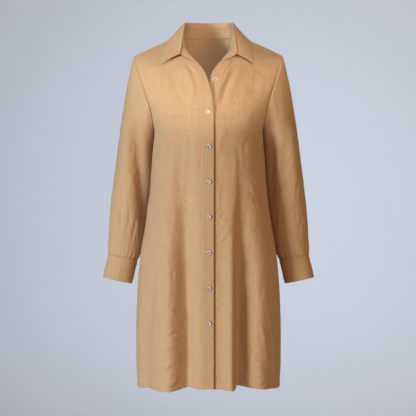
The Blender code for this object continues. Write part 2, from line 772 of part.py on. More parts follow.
def make_button(name, place, facing, look):
    """Button with its back on a place of the cloth, turned the way it faces."""
    facing = facing / np.linalg.norm(facing)
    side = np.cross([0, 0, 1.0], facing)
    side = side / np.linalg.norm(side)
    up = np.cross(facing, side)
    points = [place]
    for radius, height in BUTTON_PROFILE:
        for k in range(BUTTON_SIDES):
            a = 2 * math.pi * k / BUTTON_SIDES
            around = side * math.cos(a) + up * math.sin(a)
            points.append(place + around * radius * BUTTON_RADIUS
                          + facing * height * BUTTON_HEIGHT)
    points.append(place + facing * BUTTON_PROFILE[-1][1] * BUTTON_HEIGHT)
    last = len(points) - 1
    inner = last - BUTTON_SIDES
    faces = quads_of(len(BUTTON_PROFILE), BUTTON_SIDES, first=1, closed=True)
    for k in range(BUTTON_SIDES):
        after = (k + 1) % BUTTON_SIDES
        faces.append((0, 1 + after, 1 + k))
        faces.append((last, inner + k, inner + after))
    mesh_object(name, points, faces, look)


def on_panel(grid, normal, z, out, from_edge):
    """Point and facing on a front, at a height and a distance from its open edge."""
    heights = grid[:, 0, 2]
    i = int(np.argmax(heights > z))
    t = (z - heights[i - 1]) / (heights[i] - heights[i - 1])
    line = grid[i - 1] * (1 - t) + grid[i] * t
    facing = normal[i - 1] * (1 - t) + normal[i] * t
    run = lengths(line)
    point = along(line, np.array([from_edge]), run)[0]
    face = along(facing, np.array([from_edge]), run)[0]
    face = face / np.linalg.norm(face)
    return point + face * out, face


def make_buttons(grids, normals, look):
    """Fastened row on the left front and the open button on the right front."""
    off = CLOTH_WALL / 2 + LAY_GAP + BAND_WALL + LAY_GAP
    for k in range(FASTENED_BUTTONS):
        place, face = on_panel(grids["left"], normals["left"],
                               FIRST_FASTENED_Z - k * BUTTON_SPACING, off, FRONT_OVERLAP)
        make_button("button_" + str(k + 2), mirrored(place, "left"), mirrored(face, "left"), look)
    place, face = on_panel(grids["right"], normals["right"], OPEN_BUTTON_Z, off, FRONT_OVERLAP)
    make_button("button_1", place, face, look)


def make_hidden_buttons(stand, stand_walls, look):
    """Button under the right stand end and one on each cuff lap, at the back."""
    near = (STAND_BUTTON_STATION, STAND_STEPS - 1)
    out = COLLAR_WALL / 2 + LAY_GAP * 3
    make_button("button_stand", stand[near] + stand_walls[near] * out, stand_walls[near], look)
    grid, outward = cuff_grid()
    out = CUFF_WALL / 2 + LAY_GAP
    place = (grid[1, -2] + grid[2, -2]) / 2
    face = outward[1, -2]
    for side in ("left", "right"):
        make_button("button_cuff_" + side, mirrored(place + face * out, side),
                    mirrored(face, side), look)


def share_shoulder(normals, back_normal):
    """Fronts and back lean their shoulder walls the same way."""
    half = back_normal[-1, BACK_NECK_COLUMNS:]
    share = np.linspace(0, 1, len(half))
    for side in normals:
        own = normals[side][-1]
        place = np.linspace(0, 1, len(own))
        other = np.stack([np.interp(place, share, half[:, k]) for k in range(3)], axis=1)
        normals[side][-1] = meeting(own, other)
    own = normals["right"][-1]
    place = np.linspace(0, 1, len(own))
    back = np.stack([np.interp(share, place, own[:, k]) for k in range(3)], axis=1)
    back_normal[-1, BACK_NECK_COLUMNS:] = back


def share_side(normals, back_normal):
    """Fronts and back lean their side seam walls the same way."""
    front_last = row_numbers(ROW_STEPS).index(UNDERARM_ROW)
    back_last = row_numbers(BACK_STEPS).index(UNDERARM_ROW)
    for side in normals:
        shared = meeting(normals[side][:front_last + 1, -1], back_normal[:back_last + 1, -1])
        normals[side][:front_last + 1, -1] = shared
    back_normal[:back_last + 1, -1] = normals["right"][:front_last + 1, -1]


def share_armhole(normals, back_normal, sleeve_first):
    """Body and sleeve lean their armhole walls the same way."""
    front_first = row_numbers(ROW_STEPS).index(UNDERARM_ROW)
    back_first = row_numbers(BACK_STEPS).index(UNDERARM_ROW)
    down = normals["right"][front_first:, -1][::-1]
    up = back_normal[back_first + 1:-1, -1]
    shared = meeting(np.concatenate([down, up]), sleeve_first)
    count = len(down)
    for side in normals:
        normals[side][front_first:, -1] = shared[:count][::-1]
    back_normal[back_first + 1:-1, -1] = shared[count:]
    back_normal[-1, -1] = shared[0]
    back_normal[back_first, -1] = shared[count - 1]
    return shared


def build():
    """All pieces."""
    linen = material("linen", (0.58, 0.38, 0.21), 0.85)
    pearl = material("button", (0.42, 0.40, 0.37), 0.3)
    grids = {side: front_grid(side) for side in ("left", "right")}
    back = back_grid()
    sleeve, turns = sleeve_grid(grids["right"], back)
    normals = {side: normals_of(grids[side]) for side in grids}
    back_normal = -normals_of(back)
    share_side(normals, back_normal)
    share_shoulder(normals, back_normal)
    shared = share_armhole(normals, back_normal, ring_normals(sleeve)[0])
    for side in grids:
        make_front(side, grids[side], normals[side], linen)
        make_sleeve(side, folded_sleeve(sleeve, turns, side), shared, linen)
        make_cuff(side, linen)
    make_back(back, back_normal, linen)
    low, top, fold, edge = collar_lines(grids["right"], normals["right"], back_normal)
    stand, stand_walls = make_collar(low, top, fold, edge, linen)
    make_buttons(grids, normals, pearl)
    make_hidden_buttons(stand, stand_walls, pearl)


build()
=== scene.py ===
import math

import bmesh
import bpy
import numpy as np
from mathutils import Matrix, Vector


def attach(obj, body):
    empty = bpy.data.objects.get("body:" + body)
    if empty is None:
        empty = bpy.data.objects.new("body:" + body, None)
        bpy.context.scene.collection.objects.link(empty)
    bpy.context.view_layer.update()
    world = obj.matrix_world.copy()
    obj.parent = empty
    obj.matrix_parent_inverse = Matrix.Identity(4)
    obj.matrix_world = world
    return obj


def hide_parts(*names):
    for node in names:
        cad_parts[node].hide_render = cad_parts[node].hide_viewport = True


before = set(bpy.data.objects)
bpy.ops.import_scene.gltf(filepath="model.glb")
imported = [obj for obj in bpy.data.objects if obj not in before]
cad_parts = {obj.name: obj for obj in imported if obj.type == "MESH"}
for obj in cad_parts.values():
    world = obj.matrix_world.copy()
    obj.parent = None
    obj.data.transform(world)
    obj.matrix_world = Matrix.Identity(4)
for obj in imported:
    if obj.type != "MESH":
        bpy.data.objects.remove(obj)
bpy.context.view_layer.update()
bpy.ops.object.select_all(action="DESELECT")
print("frame loaded")

# Tables and sizes are in millimetres in the CAD frame. left and right are the viewer's. A
# half is drawn on the right-hand side and mirrored; x then grows from the middle line out.
mm = 0.001

# camera and studio

studio = {
    "frameWidth": 1123.2,     # what the frame is wide at the shoulder seams
    "distance": 3200.0,       # from them to the lens
    "height": -467.0,
    "aside": -1.3,
    "sensor": 36.0,
    "floorZ": -2000.0,        # below the picture's lower edge
    "wallY": 4600.0,
    "sweep": 900.0,           # radius between floor and wall
    "near": -8.0, "wide": 14.0, "high": 6.0,     # how far the paper reaches, in metres
    "paper": "C5CDD9",
    "air": "E8A860", "airPower": 0.11, "roomPower": 0.9,
    "gamma": 0.88, "exposure": 0.14,
}
lamps = (         # name, place in metres, size, power, colour
    ("keyLight", (-3.05, -2.75, -0.5), 1.0, 161.0, (0.77, 0.88, 1)),
    ("fillLight", (2.3, -3.3, 0.1), 2.2, 62.0, (1, 0.72, 0.45)),
    ("paperLight", (0.7, 1.5, -0.1), 4.0, 90.0, (1, 1, 1)),
)
collarLamp = {"place": (0.05, -2.9, 0.8), "aim": (0.0, 0.05, -0.045), "power": 3100.0, "cone": 3.0,
              "softness": 0.25}


def linear(code):
    channels = [int(code[i:i + 2], 16) / 255 for i in (0, 2, 4)]
    return [c / 12.92 if c <= 0.04045 else ((c + 0.055) / 1.055) ** 2.4 for c in channels] + [1.0]


def addNode(tree, kind, settings=None, links=None):
    node = tree.nodes.new(kind)
    for name, value in (settings or {}).items():
        if isinstance(name, str) and hasattr(node, name):
            setattr(node, name, value)
        else:
            node.inputs[name].default_value = value
    for name, socket in (links or {}).items():
        tree.links.new(socket, node.inputs[name])
    return node


def newMaterial(name, settings):
    look = bpy.data.materials.new(name)
    look.use_nodes = True
    shader = look.node_tree.nodes["Principled BSDF"]
    for socket, value in settings.items():
        shader.inputs[socket].default_value = value
    return look, look.node_tree, shader


def setCamera():
    lens = bpy.data.cameras.new("photoCamera")
    lens.sensor_width = studio["sensor"]
    lens.lens = studio["sensor"] * studio["distance"] / studio["frameWidth"]
    camera = bpy.data.objects.new("photoCamera", lens)
    bpy.context.collection.objects.link(camera)
    camera.location = (studio["aside"] * mm, -studio["distance"] * mm, studio["height"] * mm)
    camera.rotation_euler = (math.pi / 2, 0, 0)
    bpy.context.scene.camera = camera


def addLamp(kind, name, place, aim, power):
    bpy.ops.object.light_add(type=kind, location=place)
    lamp = bpy.context.object
    lamp.name = name
    lamp.data.energy = power
    lamp.rotation_euler = (Vector(aim) - lamp.location).to_track_quat("-Z", "Y").to_euler()
    lamp.visible_camera = False
    return lamp


def setPaper():
    bpy.ops.mesh.primitive_plane_add(size=1, location=(0, 0, 0))
    paper = bpy.context.object
    paper.name = "paperSweep"
    floor, wall = studio["floorZ"] * mm, studio["wallY"] * mm
    for v in paper.data.vertices:
        v.co = (studio["wide"] * (1 if v.co.x > 0 else -1), wall if v.co.y > 0 else studio["near"], floor)
    bpy.ops.object.mode_set(mode="EDIT")
    bm = bmesh.from_edit_mesh(paper.data)
    for edge in bm.edges:
        edge.select = all(abs(v.co.y - wall) < 1e-4 for v in edge.verts)
    bm.select_flush_mode()
    bmesh.update_edit_mesh(paper.data)
    bpy.ops.mesh.extrude_region_move(TRANSFORM_OT_translate={"value": (0, 0, studio["high"] - floor)})
    bpy.ops.object.mode_set(mode="OBJECT")
    bend = paper.modifiers.new("sweep", "BEVEL")
    bend.width = studio["sweep"] * mm
    bend.segments = 24
    bpy.ops.object.modifier_apply(modifier="sweep")
    bpy.ops.object.shade_smooth()
    look = newMaterial("matte studio paper", {"Roughness": 0.9, "Base Color": linear(studio["paper"])})[0]
    paper.data.materials.append(look)
    bpy.ops.object.select_all(action="DESELECT")


def setLamps():
    for name, place, size, power, colour in lamps:
        lamp = addLamp("AREA", name, place, (0, 0, studio["height"] * mm), power)
        lamp.data.size = size
        lamp.data.color = colour
        if name == "paperLight":
            lamp.rotation_euler = (math.radians(88), 0, 0)     # turned to the wall
    # a narrow beam from above reaches the inside of the neck
    lamp = addLamp("SPOT", "collarLight", collarLamp["place"], collarLamp["aim"], collarLamp["power"])
    lamp.data.spot_size = math.radians(collarLamp["cone"])
    lamp.data.spot_blend = 1.0
    lamp.data.shadow_soft_size = collarLamp["softness"]


def setAir():
    # seen directly the room is as pale as the paper, while its light stays weak and warm
    world = bpy.data.worlds.new("studioAir")
    bpy.context.scene.world = world
    world.use_nodes = True
    tree = world.node_tree
    air = tree.nodes["Background"]
    air.inputs["Color"].default_value = linear(studio["air"])
    air.inputs["Strength"].default_value = studio["airPower"]
    seen = addNode(tree, "ShaderNodeBackground", {"Color": linear(studio["paper"]),
                                                  "Strength": studio["roomPower"]})
    ray = addNode(tree, "ShaderNodeLightPath")
    either = addNode(tree, "ShaderNodeMixShader", {},
                     {"Fac": ray.outputs["Is Camera Ray"], 1: air.outputs[0], 2: seen.outputs[0]})
    tree.links.new(either.outputs[0], tree.nodes["World Output"].inputs["Surface"])
    bpy.context.scene.view_settings.view_transform = "Standard"
    bpy.context.scene.view_settings.gamma = studio["gamma"]
    bpy.context.scene.view_settings.exposure = studio["exposure"]


setCamera()
setPaper()
setLamps()
setAir()
print("camera and studio set")

# curves and grids that every cut piece uses


def smooth(knots, values, where):
    knots, values = np.asarray(knots, float), np.asarray(values, float)
    step = np.diff(knots)
    slope = np.diff(values) / step
    steep = np.zeros(len(values))
    steep[0], steep[-1] = slope[0], slope[-1]
    for i in range(1, len(values) - 1):
        if slope[i - 1] * slope[i] > 0:
            steep[i] = 2 * slope[i - 1] * slope[i] / (slope[i - 1] + slope[i])
    where = np.asarray(where, dtype=float)
    i = np.clip(np.searchsorted(knots, where, side="right") - 1, 0, len(step) - 1)
    t = np.clip((where - knots[i]) / step[i], 0, 1)
    return bent(values[i], values[i + 1], step[i] * steep[i], step[i] * steep[i + 1], t)


def bent(start, end, leave, arrive, t):
    # a cubic from start to end that leaves and arrives in the given directions
    first = (1 + 2 * t) * (1 - t) ** 2 * start + t * (1 - t) ** 2 * leave
    return first + t * t * (3 - 2 * t) * end - t * t * (1 - t) * arrive


def eased(t):
    t = np.clip(t, 0, 1)
    return t * t * (3 - 2 * t)


def rising(distance, start, reach):
    return eased((distance - start) / reach)


def column(table, names, name):
    return np.array([row[names.index(name)] for row in table], dtype=float)


def unit(vectors):
    return vectors / np.linalg.norm(vectors, axis=-1, keepdims=True)


def lengths(line):
    steps = np.linalg.norm(np.diff(line, axis=0), axis=1)
    return np.concatenate([[0], np.cumsum(steps)])


def along(line, where, run=None):
    run = lengths(line) if run is None else run
    return np.stack([np.interp(where, run, line[:, k]) for k in range(3)], axis=1)


def normalsOf(grid, closed=False):
    up = np.gradient(grid, axis=0)
    if closed:
        across = np.roll(grid, -1, axis=1) - np.roll(grid, 1, axis=1)
    else:
        across = np.gradient(grid, axis=1)
    return unit(np.cross(across, up))


def runAcross(grid):
    step = np.linalg.norm(np.diff(grid, axis=1), axis=2)
    return np.concatenate([np.zeros((len(grid), 1)), np.cumsum(step, axis=1)], axis=1)


def runUp(grid):
    return runAcross(grid.transpose(1, 0, 2)).T


def raised(grid, normal, out):
    return grid + normal * out[..., None]


def flipped(points, side):
    return points * np.array([-1.0 if side == "left" else 1.0, 1, 1])


def bothHalves(half):
    return np.concatenate([flipped(half, "left")[:0:-1], half])


def rowNumbers(steps):
    numbers = [0.0]
    for i, count in enumerate(steps):
        numbers += [i + (k + 1) / count for k in range(count)]
    return numbers


# body form: bent lines from the middle line out to the side seam, above it to the armhole

rowNames = ("midZ", "midY", "sideX", "sideY", "sideZ", "cornerX", "cornerY", "cornerZ", "power")
frontRows = (
    (-936, -131, 190.5, 2, -946, 1.00, 0.00, 0.5, 2.15),
    (-867, -131, 194.2, 2, -870, 1.00, 0.00, 0.5, 2.15),
    (-796, -130, 194.3, 0, -797, 1.00, 0.00, 0.5, 2.15),
    (-694, -129, 191.0, -6, -694, 1.00, 0.00, 0.5, 2.15),
    (-591, -127, 182.0, -12, -591, 1.00, 0.00, 0.5, 2.15),
    (-507, -126, 168.0, -14, -507, 1.00, 0.00, 0.5, 2.20),
    (-416, -124, 156.0, -12, -416, 1.00, 0.00, 0.5, 2.25),
    (-330, -122, 150.5, -8, -330, 1.00, 0.00, 0.5, 2.30),
    (-262, -121, 144.5, 0, -260, 1.00, 0.00, 0.5, 2.30),
    (-242, -120, 148.0, -35, -238, 0.98, 0.00, 0.5, 2.20),
    (-220, -118, 152.0, -49, -215, 0.93, 0.02, 0.5, 2.10),
    (-200, -114, 157.0, -55, -194, 0.88, 0.04, 0.5, 2.00),
    (-178, -108, 164.0, -56, -173, 0.82, 0.07, 0.5, 2.00),
    (-150, -99, 172.5, -51, -148, 0.76, 0.10, 0.5, 2.00),
    (-112, -85, 182.0, -41, -118, 0.70, 0.15, 0.5, 2.00),
    (-72, -66, 191.0, -27, -88, 0.62, 0.25, 0.5, 2.00),
    (-26, -38, 196.0, -12, -67, 0.55, 0.40, 0.45, 2.00),
    (26, 8, 196.0, 4, -54, 0.50, 0.50, 0.38, 2.00),
)
backRows = (
    (-941, 132, 190.5, 2, -946, 1.00, 0.00, 0.5, 2.15),
    (-868, 129, 194.2, 2, -870, 1.00, 0.00, 0.5, 2.15),
    (-796, 126, 194.3, 0, -797, 1.00, 0.00, 0.5, 2.15),
    (-694, 121, 191.0, -6, -694, 1.00, 0.00, 0.5, 2.15),
    (-591, 114, 182.0, -12, -591, 1.00, 0.00, 0.5, 2.15),
    (-507, 107, 168.0, -14, -507, 1.00, 0.00, 0.5, 2.15),
    (-416, 102, 156.0, -12, -416, 1.00, 0.00, 0.5, 2.15),
    (-330, 101, 150.5, -8, -330, 1.00, 0.00, 0.5, 2.15),
    (-262, 103, 144.5, 0, -260, 1.00, 0.00, 0.5, 2.15),
    (-244, 104, 147.0, 30, -249, 0.98, 0.00, 0.5, 2.10),
    (-220, 105, 151.0, 46, -231, 0.93, 0.02, 0.5, 2.10),
    (-190, 105, 157.0, 56, -207, 0.88, 0.04, 0.5, 2.05),
    (-155, 103, 165.0, 60, -179, 0.84, 0.06, 0.5, 2.00),
    (-118, 98, 174.0, 57, -150, 0.80, 0.10, 0.5, 2.00),
    (-80, 89, 183.0, 48, -120, 0.74, 0.15, 0.5, 2.00),
)
backNeck = ((0.0, 66.0, -2.0), (20.0, 64.2, -2.0), (38.0, 58.0, -2.5), (52.0, 47.0, -3.5),
            (62.0, 33.0, -4.0), (68.0, 20.0, -3.0))
edgeNames = ("z", "left", "right")
frontEdge = (     # open edge and neckline, how far out from the middle line
    (-1000, -14.0, -14.0), (-250, -14.0, -14.0), (-204, -12.5, -11.5), (-174, -9.0, -6.5),
    (-158, -5.0, -2.0), (-136, 0.0, 3.5), (-121, 5.5, 6.0), (-102, 15.6, 15.0),
    (-87, 27.3, 26.0), (-76, 36.5, 36.0), (-60, 49.5, 49.0), (-36, 60.0, 59.5),
    (-14, 66.0, 65.5), (2, 70.0, 70.0), (60, 74.0, 74.0),
)
edgeLift = (      # how far that edge stands off
    (-1000, 2.8, 0.0), (-230, 2.8, 0.0), (-190, 6.0, 0.5), (-150, 9.0, 2.0), (-110, 8.0, 4.0),
    (-80, 4.0, 4.0), (-50, 2.0, 2.0), (-20, 0.0, 0.0), (60, 0.0, 0.0),
)
body = {
    "wall": 1.0, "bandWidth": 32.0, "liftReach": 60.0,
    "underarmRow": 8, "underarmZ": -262.0, "shoulderRow": 17, "neckX": 70.0, "cornerZ": -76.0,
    "frontSteps": (25, 25, 35, 35, 28, 31, 28, 22, 7, 7, 7, 7, 9, 12, 13, 14, 15),
    "backSteps": (16, 16, 22, 22, 18, 20, 18, 15, 4, 5, 7, 8, 8, 8),
    "bandPlaces": (0, 3.2, 6.4, 9.6, 12.8, 16, 19.2, 22.4, 25.6, 28.0, 29.3, 30.6, 32),
    "yokeSteps": 20, "bandColumns": 12, "frontColumns": 116,
    "neckColumns": 24, "shoulderColumns": 44,
    "yokeLeave": 2.4, "yokeArrive": 0.9, "yokeShift": 14.0,
}
foldNames = ("xHem", "xTop", "zTop", "near", "far", "out")
folds = {     # the large hanging folds of the skirt
    "left": (
        (56, 72, -150, 44, 19, -22), (99, 108, -200, 24, 42, 21), (162, 140, -620, 16, 16, -6),
    ),
    "right": (
        (84, 84, -300, 13, 31, -31), (58, 60, -330, 26, 13, 13), (140, 124, -420, 22, 26, 6),
        (178, 150, -600, 12, 14, 3),
    ),
    "back": (
        (78, 70, -330, 34, 30, -26), (118, 104, -420, 22, 26, 9), (22, 18, -480, 26, 26, 7),
    ),
}
drape = {
    "fullZ": -820.0, "clear": 18.5, "reach": 40.0,     # full depth below, flat beside the bands
    "hemRise": 0.2, "hemReach": 120.0, "sideReach": 45.0,
}


def edgeValue(table, side, z):
    return smooth(column(table, edgeNames, "z"), column(table, edgeNames, side), z)


def rowValues(table, row):
    knots = np.arange(len(table), dtype=float)
    under = body["underarmRow"]
    part = slice(0, under + 1) if row <= under else slice(under, None)
    found = {}
    for name in rowNames:
        values = column(table, rowNames, name)
        if name.startswith("side"):     # the side line turns sharply at the underarm
            found[name] = float(smooth(knots[part], values[part], row))
        else:
            found[name] = float(smooth(knots, values, row))
    return found


def formLine(table, row):
    r = rowValues(table, row)
    start = np.array([0, r["midY"], r["midZ"]])
    end = np.array([r["sideX"], r["sideY"], r["sideZ"]])
    corner = start + (end - start) * np.array([r["cornerX"], r["cornerY"], r["cornerZ"]])
    centre = start + end - corner
    turn = np.linspace(0, math.pi / 2, 240)[:, None]
    c = np.cos(turn).clip(0, 1) ** (2 / r["power"])
    s = np.sin(turn).clip(0, 1) ** (2 / r["power"])
    return centre + (start - centre) * c + (end - centre) * s


def wholeLine(table, row):
    half = formLine(table, row)
    run = lengths(half)
    other = half[:0:-1] * np.array([-1, 1, 1])
    return np.concatenate([other, half]), np.concatenate([-run[:0:-1], run])


def edgeLength(line, run, side):
    over = line[:, 0] - edgeValue(frontEdge, side, line[:, 2])
    i = int(np.argmax(over > 0))
    return float(np.interp(0, over[i - 1:i + 1], run[i - 1:i + 1]))


def foldDepth(panel, x, z):
    out = np.zeros_like(x)
    for row in folds[panel]:
        f = dict(zip(foldNames, row))
        fade = eased((f["zTop"] - z) / (f["zTop"] - drape["fullZ"]))
        off = x - (f["xTop"] + (f["xHem"] - f["xTop"]) * fade)
        out += f["out"] * fade * np.exp(-(off / np.where(off < 0, f["near"], f["far"])) ** 2)
    if panel == "back":
        return out
    return out * rising(np.abs(x), drape["clear"], drape["reach"])


def draped(grid, panel, lift=None):
    normal = normalsOf(grid)
    run = runAcross(grid)
    out = foldDepth(panel, grid[..., 0], grid[..., 2])
    out = out * np.clip((run[:, -1:] - run) / drape["sideReach"], 0, 1)
    moved = raised(grid, normal, out)
    low = np.clip(1 - (grid[..., 2] - grid[:1, :, 2]) / drape["hemReach"], 0, 1)
    moved[..., 2] -= drape["hemRise"] * out * low
    return moved if lift is None else raised(moved, normal, lift)


def frontGrid(side):
    rows, lift = [], []
    for number in rowNumbers(body["frontSteps"]):
        line, run = wholeLine(frontRows, number)
        start = edgeLength(line, run, side)
        bandPlaces = start + np.array(body["bandPlaces"])
        rest = np.linspace(bandPlaces[-1], run[-1], body["frontColumns"] + 1)[1:]
        places = np.concatenate([bandPlaces, rest])
        points = along(line, places, run)
        rows.append(points)
        height = float(edgeValue(edgeLift, side, points[0, 2]))
        lift.append(height * (1 - rising(places - start, body["bandWidth"], body["liftReach"])))
    return draped(np.array(rows), side, np.array(lift))


def shoulderLine(count):
    line, run = wholeLine(frontRows, body["shoulderRow"])
    start = float(np.interp(body["neckX"], line[:, 0], run))
    return along(line, np.linspace(start, run[-1], count + 1), run)


def neckLineBack(count):
    line = np.concatenate([backNeck, shoulderLine(8)[:1]])
    run = lengths(line)
    fine = np.linspace(0, run[-1], count + 1)
    return np.stack([smooth(run, line[:, k], fine) for k in range(3)], axis=1)


def backGrid():
    neck, shoulder = body["neckColumns"], body["shoulderColumns"]
    rows = []
    for number in rowNumbers(body["backSteps"]):
        line = formLine(backRows, number)
        rows.append(along(line, np.linspace(0, lengths(line)[-1], neck + shoulder + 1)))
    lower = np.array(rows)
    # over the shoulder blades the rows bend on, up to neck and shoulder seam
    top = np.concatenate([neckLineBack(neck), shoulderLine(shoulder)[1:]])
    leave = (lower[-1] - lower[-2]) * body["backSteps"][-1] * body["yokeLeave"]
    arrive = (top - lower[-1]) * body["yokeArrive"]
    arrive[:, 1] -= body["yokeShift"]
    upper = [bent(lower[-1], top, leave, arrive, (k + 1) / body["yokeSteps"])
             for k in range(body["yokeSteps"])]
    grid = np.concatenate([lower, np.array(upper)]) * np.array([1, -1, 1])
    return draped(grid, "back") * np.array([1, -1, 1])


# creases placed one by one: from x1, z1 to x2, z2, sideways bend at the middle, width, height

creases = {
    "left": (
        (55, -78, 26, -204, 6, 8, -2.4), (68, -84, 38, -190, 8, 8, 1.8),
        (46, -208, 10, -210, 2, 3.2, -1.5), (60, -201, 14, -203, 2, 4, 0.8),
        (92, -150, 30, -214, -6, 10, -1.4), (134, -222, 50, -214, -4, 11, -2.0),
        (138, -262, 96, -330, 10, 9, 1.4), (132, -290, 110, -420, 8, 8, -1.6),
        (66, -330, 74, -470, 6, 9, 1.3), (44, -250, 46, -400, -4, 7, -1.0),
        (30, -330, 34, -380, 2, 3, 0.9), (24, -455, 60, -470, -4, 3, -0.8),
        (22, -515, 54, -500, 3, 3, 0.8), (70, -520, 30, -560, 5, 4, -0.9),
        (108, -560, 122, -760, 8, 9, 1.2), (130, -600, 150, -790, -10, 12, -2.0),
        (120, -742, 84, -716, -5, 3.5, 0.9), (128, -802, 96, -780, -4, 3, -0.8),
        (142, -862, 92, -846, -6, 4, 1.1), (110, -880, 74, -862, -4, 3, -0.8),
        (152, -902, 104, -898, -7, 4, -0.9), (32, -760, 24, -880, 3, 4, -0.9),
        (46, -640, 40, -760, -3, 5, 0.9), (162, -420, 152, -620, 4, 7, 1.3),
    ),
    "right": (
        (64, -82, 20, -204, 6, 7, 2.4), (78, -90, 32, -208, 8, 8, -2.6), (96, -96, 44, -216, 10, 9, 1.8),
        (156, -84, 116, -190, 10, 17, -2.4), (136, -200, 96, -252, 9, 10, 1.2),
        (126, -262, 92, -330, 10, 9, -1.5), (64, -505, 28, -572, 5, 5, 1.5),
        (46, -478, 22, -520, 3, 4, -1.1), (52, -250, 22, -330, 5, 7, 1.2),
        (40, -330, 20, -380, 4, 5, -0.9), (34, -400, 26, -470, 2, 4, 0.8),
        (66, -300, 70, -500, -4, 9, 1.2), (150, -706, 178, -930, -5, 4.5, 1.5),
        (137, -760, 158, -930, -4, 5, 0.9), (163, -720, 184, -900, -4, 5, -1.8),
        (120, -600, 128, -760, 6, 10, -1.5), (44, -700, 24, -712, 2, 3, -0.9),
        (28, -776, 62, -784, -3, 3.5, 0.9), (104, -830, 140, -842, 4, 3.5, -0.8),
        (108, -880, 150, -896, 5, 4, 0.9), (20, -842, 52, -850, -3, 3, -0.7),
        (30, -905, 60, -896, 3, 3, 0.7),
    ),
    "back": (
        (30, -40, 92, -150, 10, 15, -2.4), (-44, -38, -104, -140, -9, 13, -2.0),
        (120, -150, 88, -260, 8, 10, 1.6), (-128, -160, -90, -280, -8, 11, -1.7),
        (60, -300, 40, -430, 8, 10, 1.5), (-52, -290, -34, -450, -7, 11, -1.6),
        (96, -330, 30, -372, -8, 8, -1.5), (-110, -345, -40, -380, 7, 7, 1.3),
        (20, -395, 104, -418, 8, 7, 1.2), (-14, -410, -96, -440, -8, 8, -1.4),
        (132, -420, 150, -640, -8, 9, 1.6), (-130, -440, -152, -660, 8, 9, -1.5),
        (46, -560, 40, -800, 7, 10, 1.7), (-36, -600, -48, -840, -6, 9, -1.5),
        (110, -742, 148, -730, 5, 4, 0.9), (-104, -800, -60, -792, 5, 4, -0.9),
        (20, -850, 64, -862, 5, 4, 0.9), (-150, -872, -100, -880, -5, 4, 0.9),
    ),
}
crease = {"gain": 1.35, "startShare": 0.28, "endShare": 0.34, "round": 1.6}

# fields of short pressed wrinkles: where, how many, and which way they mostly run
fieldNames = ("x1", "x2", "z1", "z2", "count", "angle", "spread", "size")
wrinkleFields = {
    "left": (
        (78, 184, -935, -770, 34, -14, 22, 1.5), (26, 66, -850, -330, 44, 8, 24, 0.75),
        (84, 150, -760, -330, 26, 78, 30, 0.8), (30, 150, -300, -120, 16, 70, 40, 0.45),
    ),
    "right": (
        (16, 56, -820, -300, 42, 24, 26, 0.9), (100, 180, -935, -760, 30, 20, 26, 0.9),
        (96, 150, -740, -330, 24, 100, 30, 0.55), (40, 150, -300, -120, 14, 112, 38, 0.35),
    ),
    "back": (
        (-170, 170, -930, -700, 46, 0, 26, 0.9), (-140, 140, -680, -300, 46, 90, 40, 0.9),
        (-130, 130, -280, -60, 30, 0, 50, 0.8),
    ),
}
wrinkle = {"seed": 7, "reach": (9, 30), "wide": (2.0, 3.8), "height": (0.5, 1.25), "bend": 0.18}


def creaseDepth(rows, x, z):
    out = np.zeros_like(x)
    for x1, z1, x2, z2, bend, wide, height in rows:
        dx, dz = x2 - x1, z2 - z1
        size = math.hypot(dx, dz)
        t = ((x - x1) * dx + (z - z1) * dz) / size ** 2
        off = ((x - x1) * dz - (z - z1) * dx) / size - bend * np.sin(np.pi * np.clip(t, 0, 1))
        ends = eased(t / crease["startShare"]) * eased((1 - t) / crease["endShare"])
        out += crease["gain"] * height * ends * np.exp(-np.abs(off / wide) ** crease["round"])
    return out


def wrinkles(panel):
    dice = np.random.default_rng(wrinkle["seed"])
    rows = []
    for place, fields in wrinkleFields.items():
        for field in fields:
            f = dict(zip(fieldNames, field))
            for _ in range(f["count"]):
                x, z = dice.uniform(f["x1"], f["x2"]), dice.uniform(f["z1"], f["z2"])
                turn = math.radians(f["angle"] + dice.normal(0, f["spread"]))
                reach, wide = dice.uniform(*wrinkle["reach"]), dice.uniform(*wrinkle["wide"])
                height = f["size"] * dice.uniform(*wrinkle["height"]) * dice.choice((-1, 1))
                dx, dz = reach * math.cos(turn), reach * math.sin(turn)
                if place == panel:
                    bend = dice.uniform(-wrinkle["bend"], wrinkle["bend"]) * reach
                    rows.append((x - dx, z - dz, x + dx, z + dz, bend, wide, height))
    return rows


# small uneven swells, from a few crossing waves with no common measure
rippleWaves = ((61.0, 23.0, 0.3), (37.0, -49.0, 1.9), (-83.0, 31.0, 4.1), (19.0, 71.0, 2.6),
               (43.0, 113.0, 5.2), (97.0, -17.0, 0.9))


def ripples(a, b, size):
    out = np.zeros(np.broadcast(a, b).shape)
    for alongA, alongB, start in rippleWaves:
        out += np.sin(a / alongA * 2.1 + b / alongB * 1.7 + start + 0.8 * np.sin(b / 57 + start))
    return out * size / len(rippleWaves)


def puckers(run, start, spacing, wide, size):
    # sines of each pucker's number keep neighbours unlike in size and distance
    out = np.zeros_like(run)
    place, k = start, 0
    while place < run.max():
        out += size * (0.55 + 0.45 * math.sin(k * 2.4)) * np.exp(-((run - place) / wide) ** 2)
        k += 1
        place += spacing * (1 + 0.38 * math.sin(k * 5.1 + 1.3))
    return out


def groove(distance, at, wide, deep):
    return -deep * np.exp(-((distance - at) / wide) ** 2)


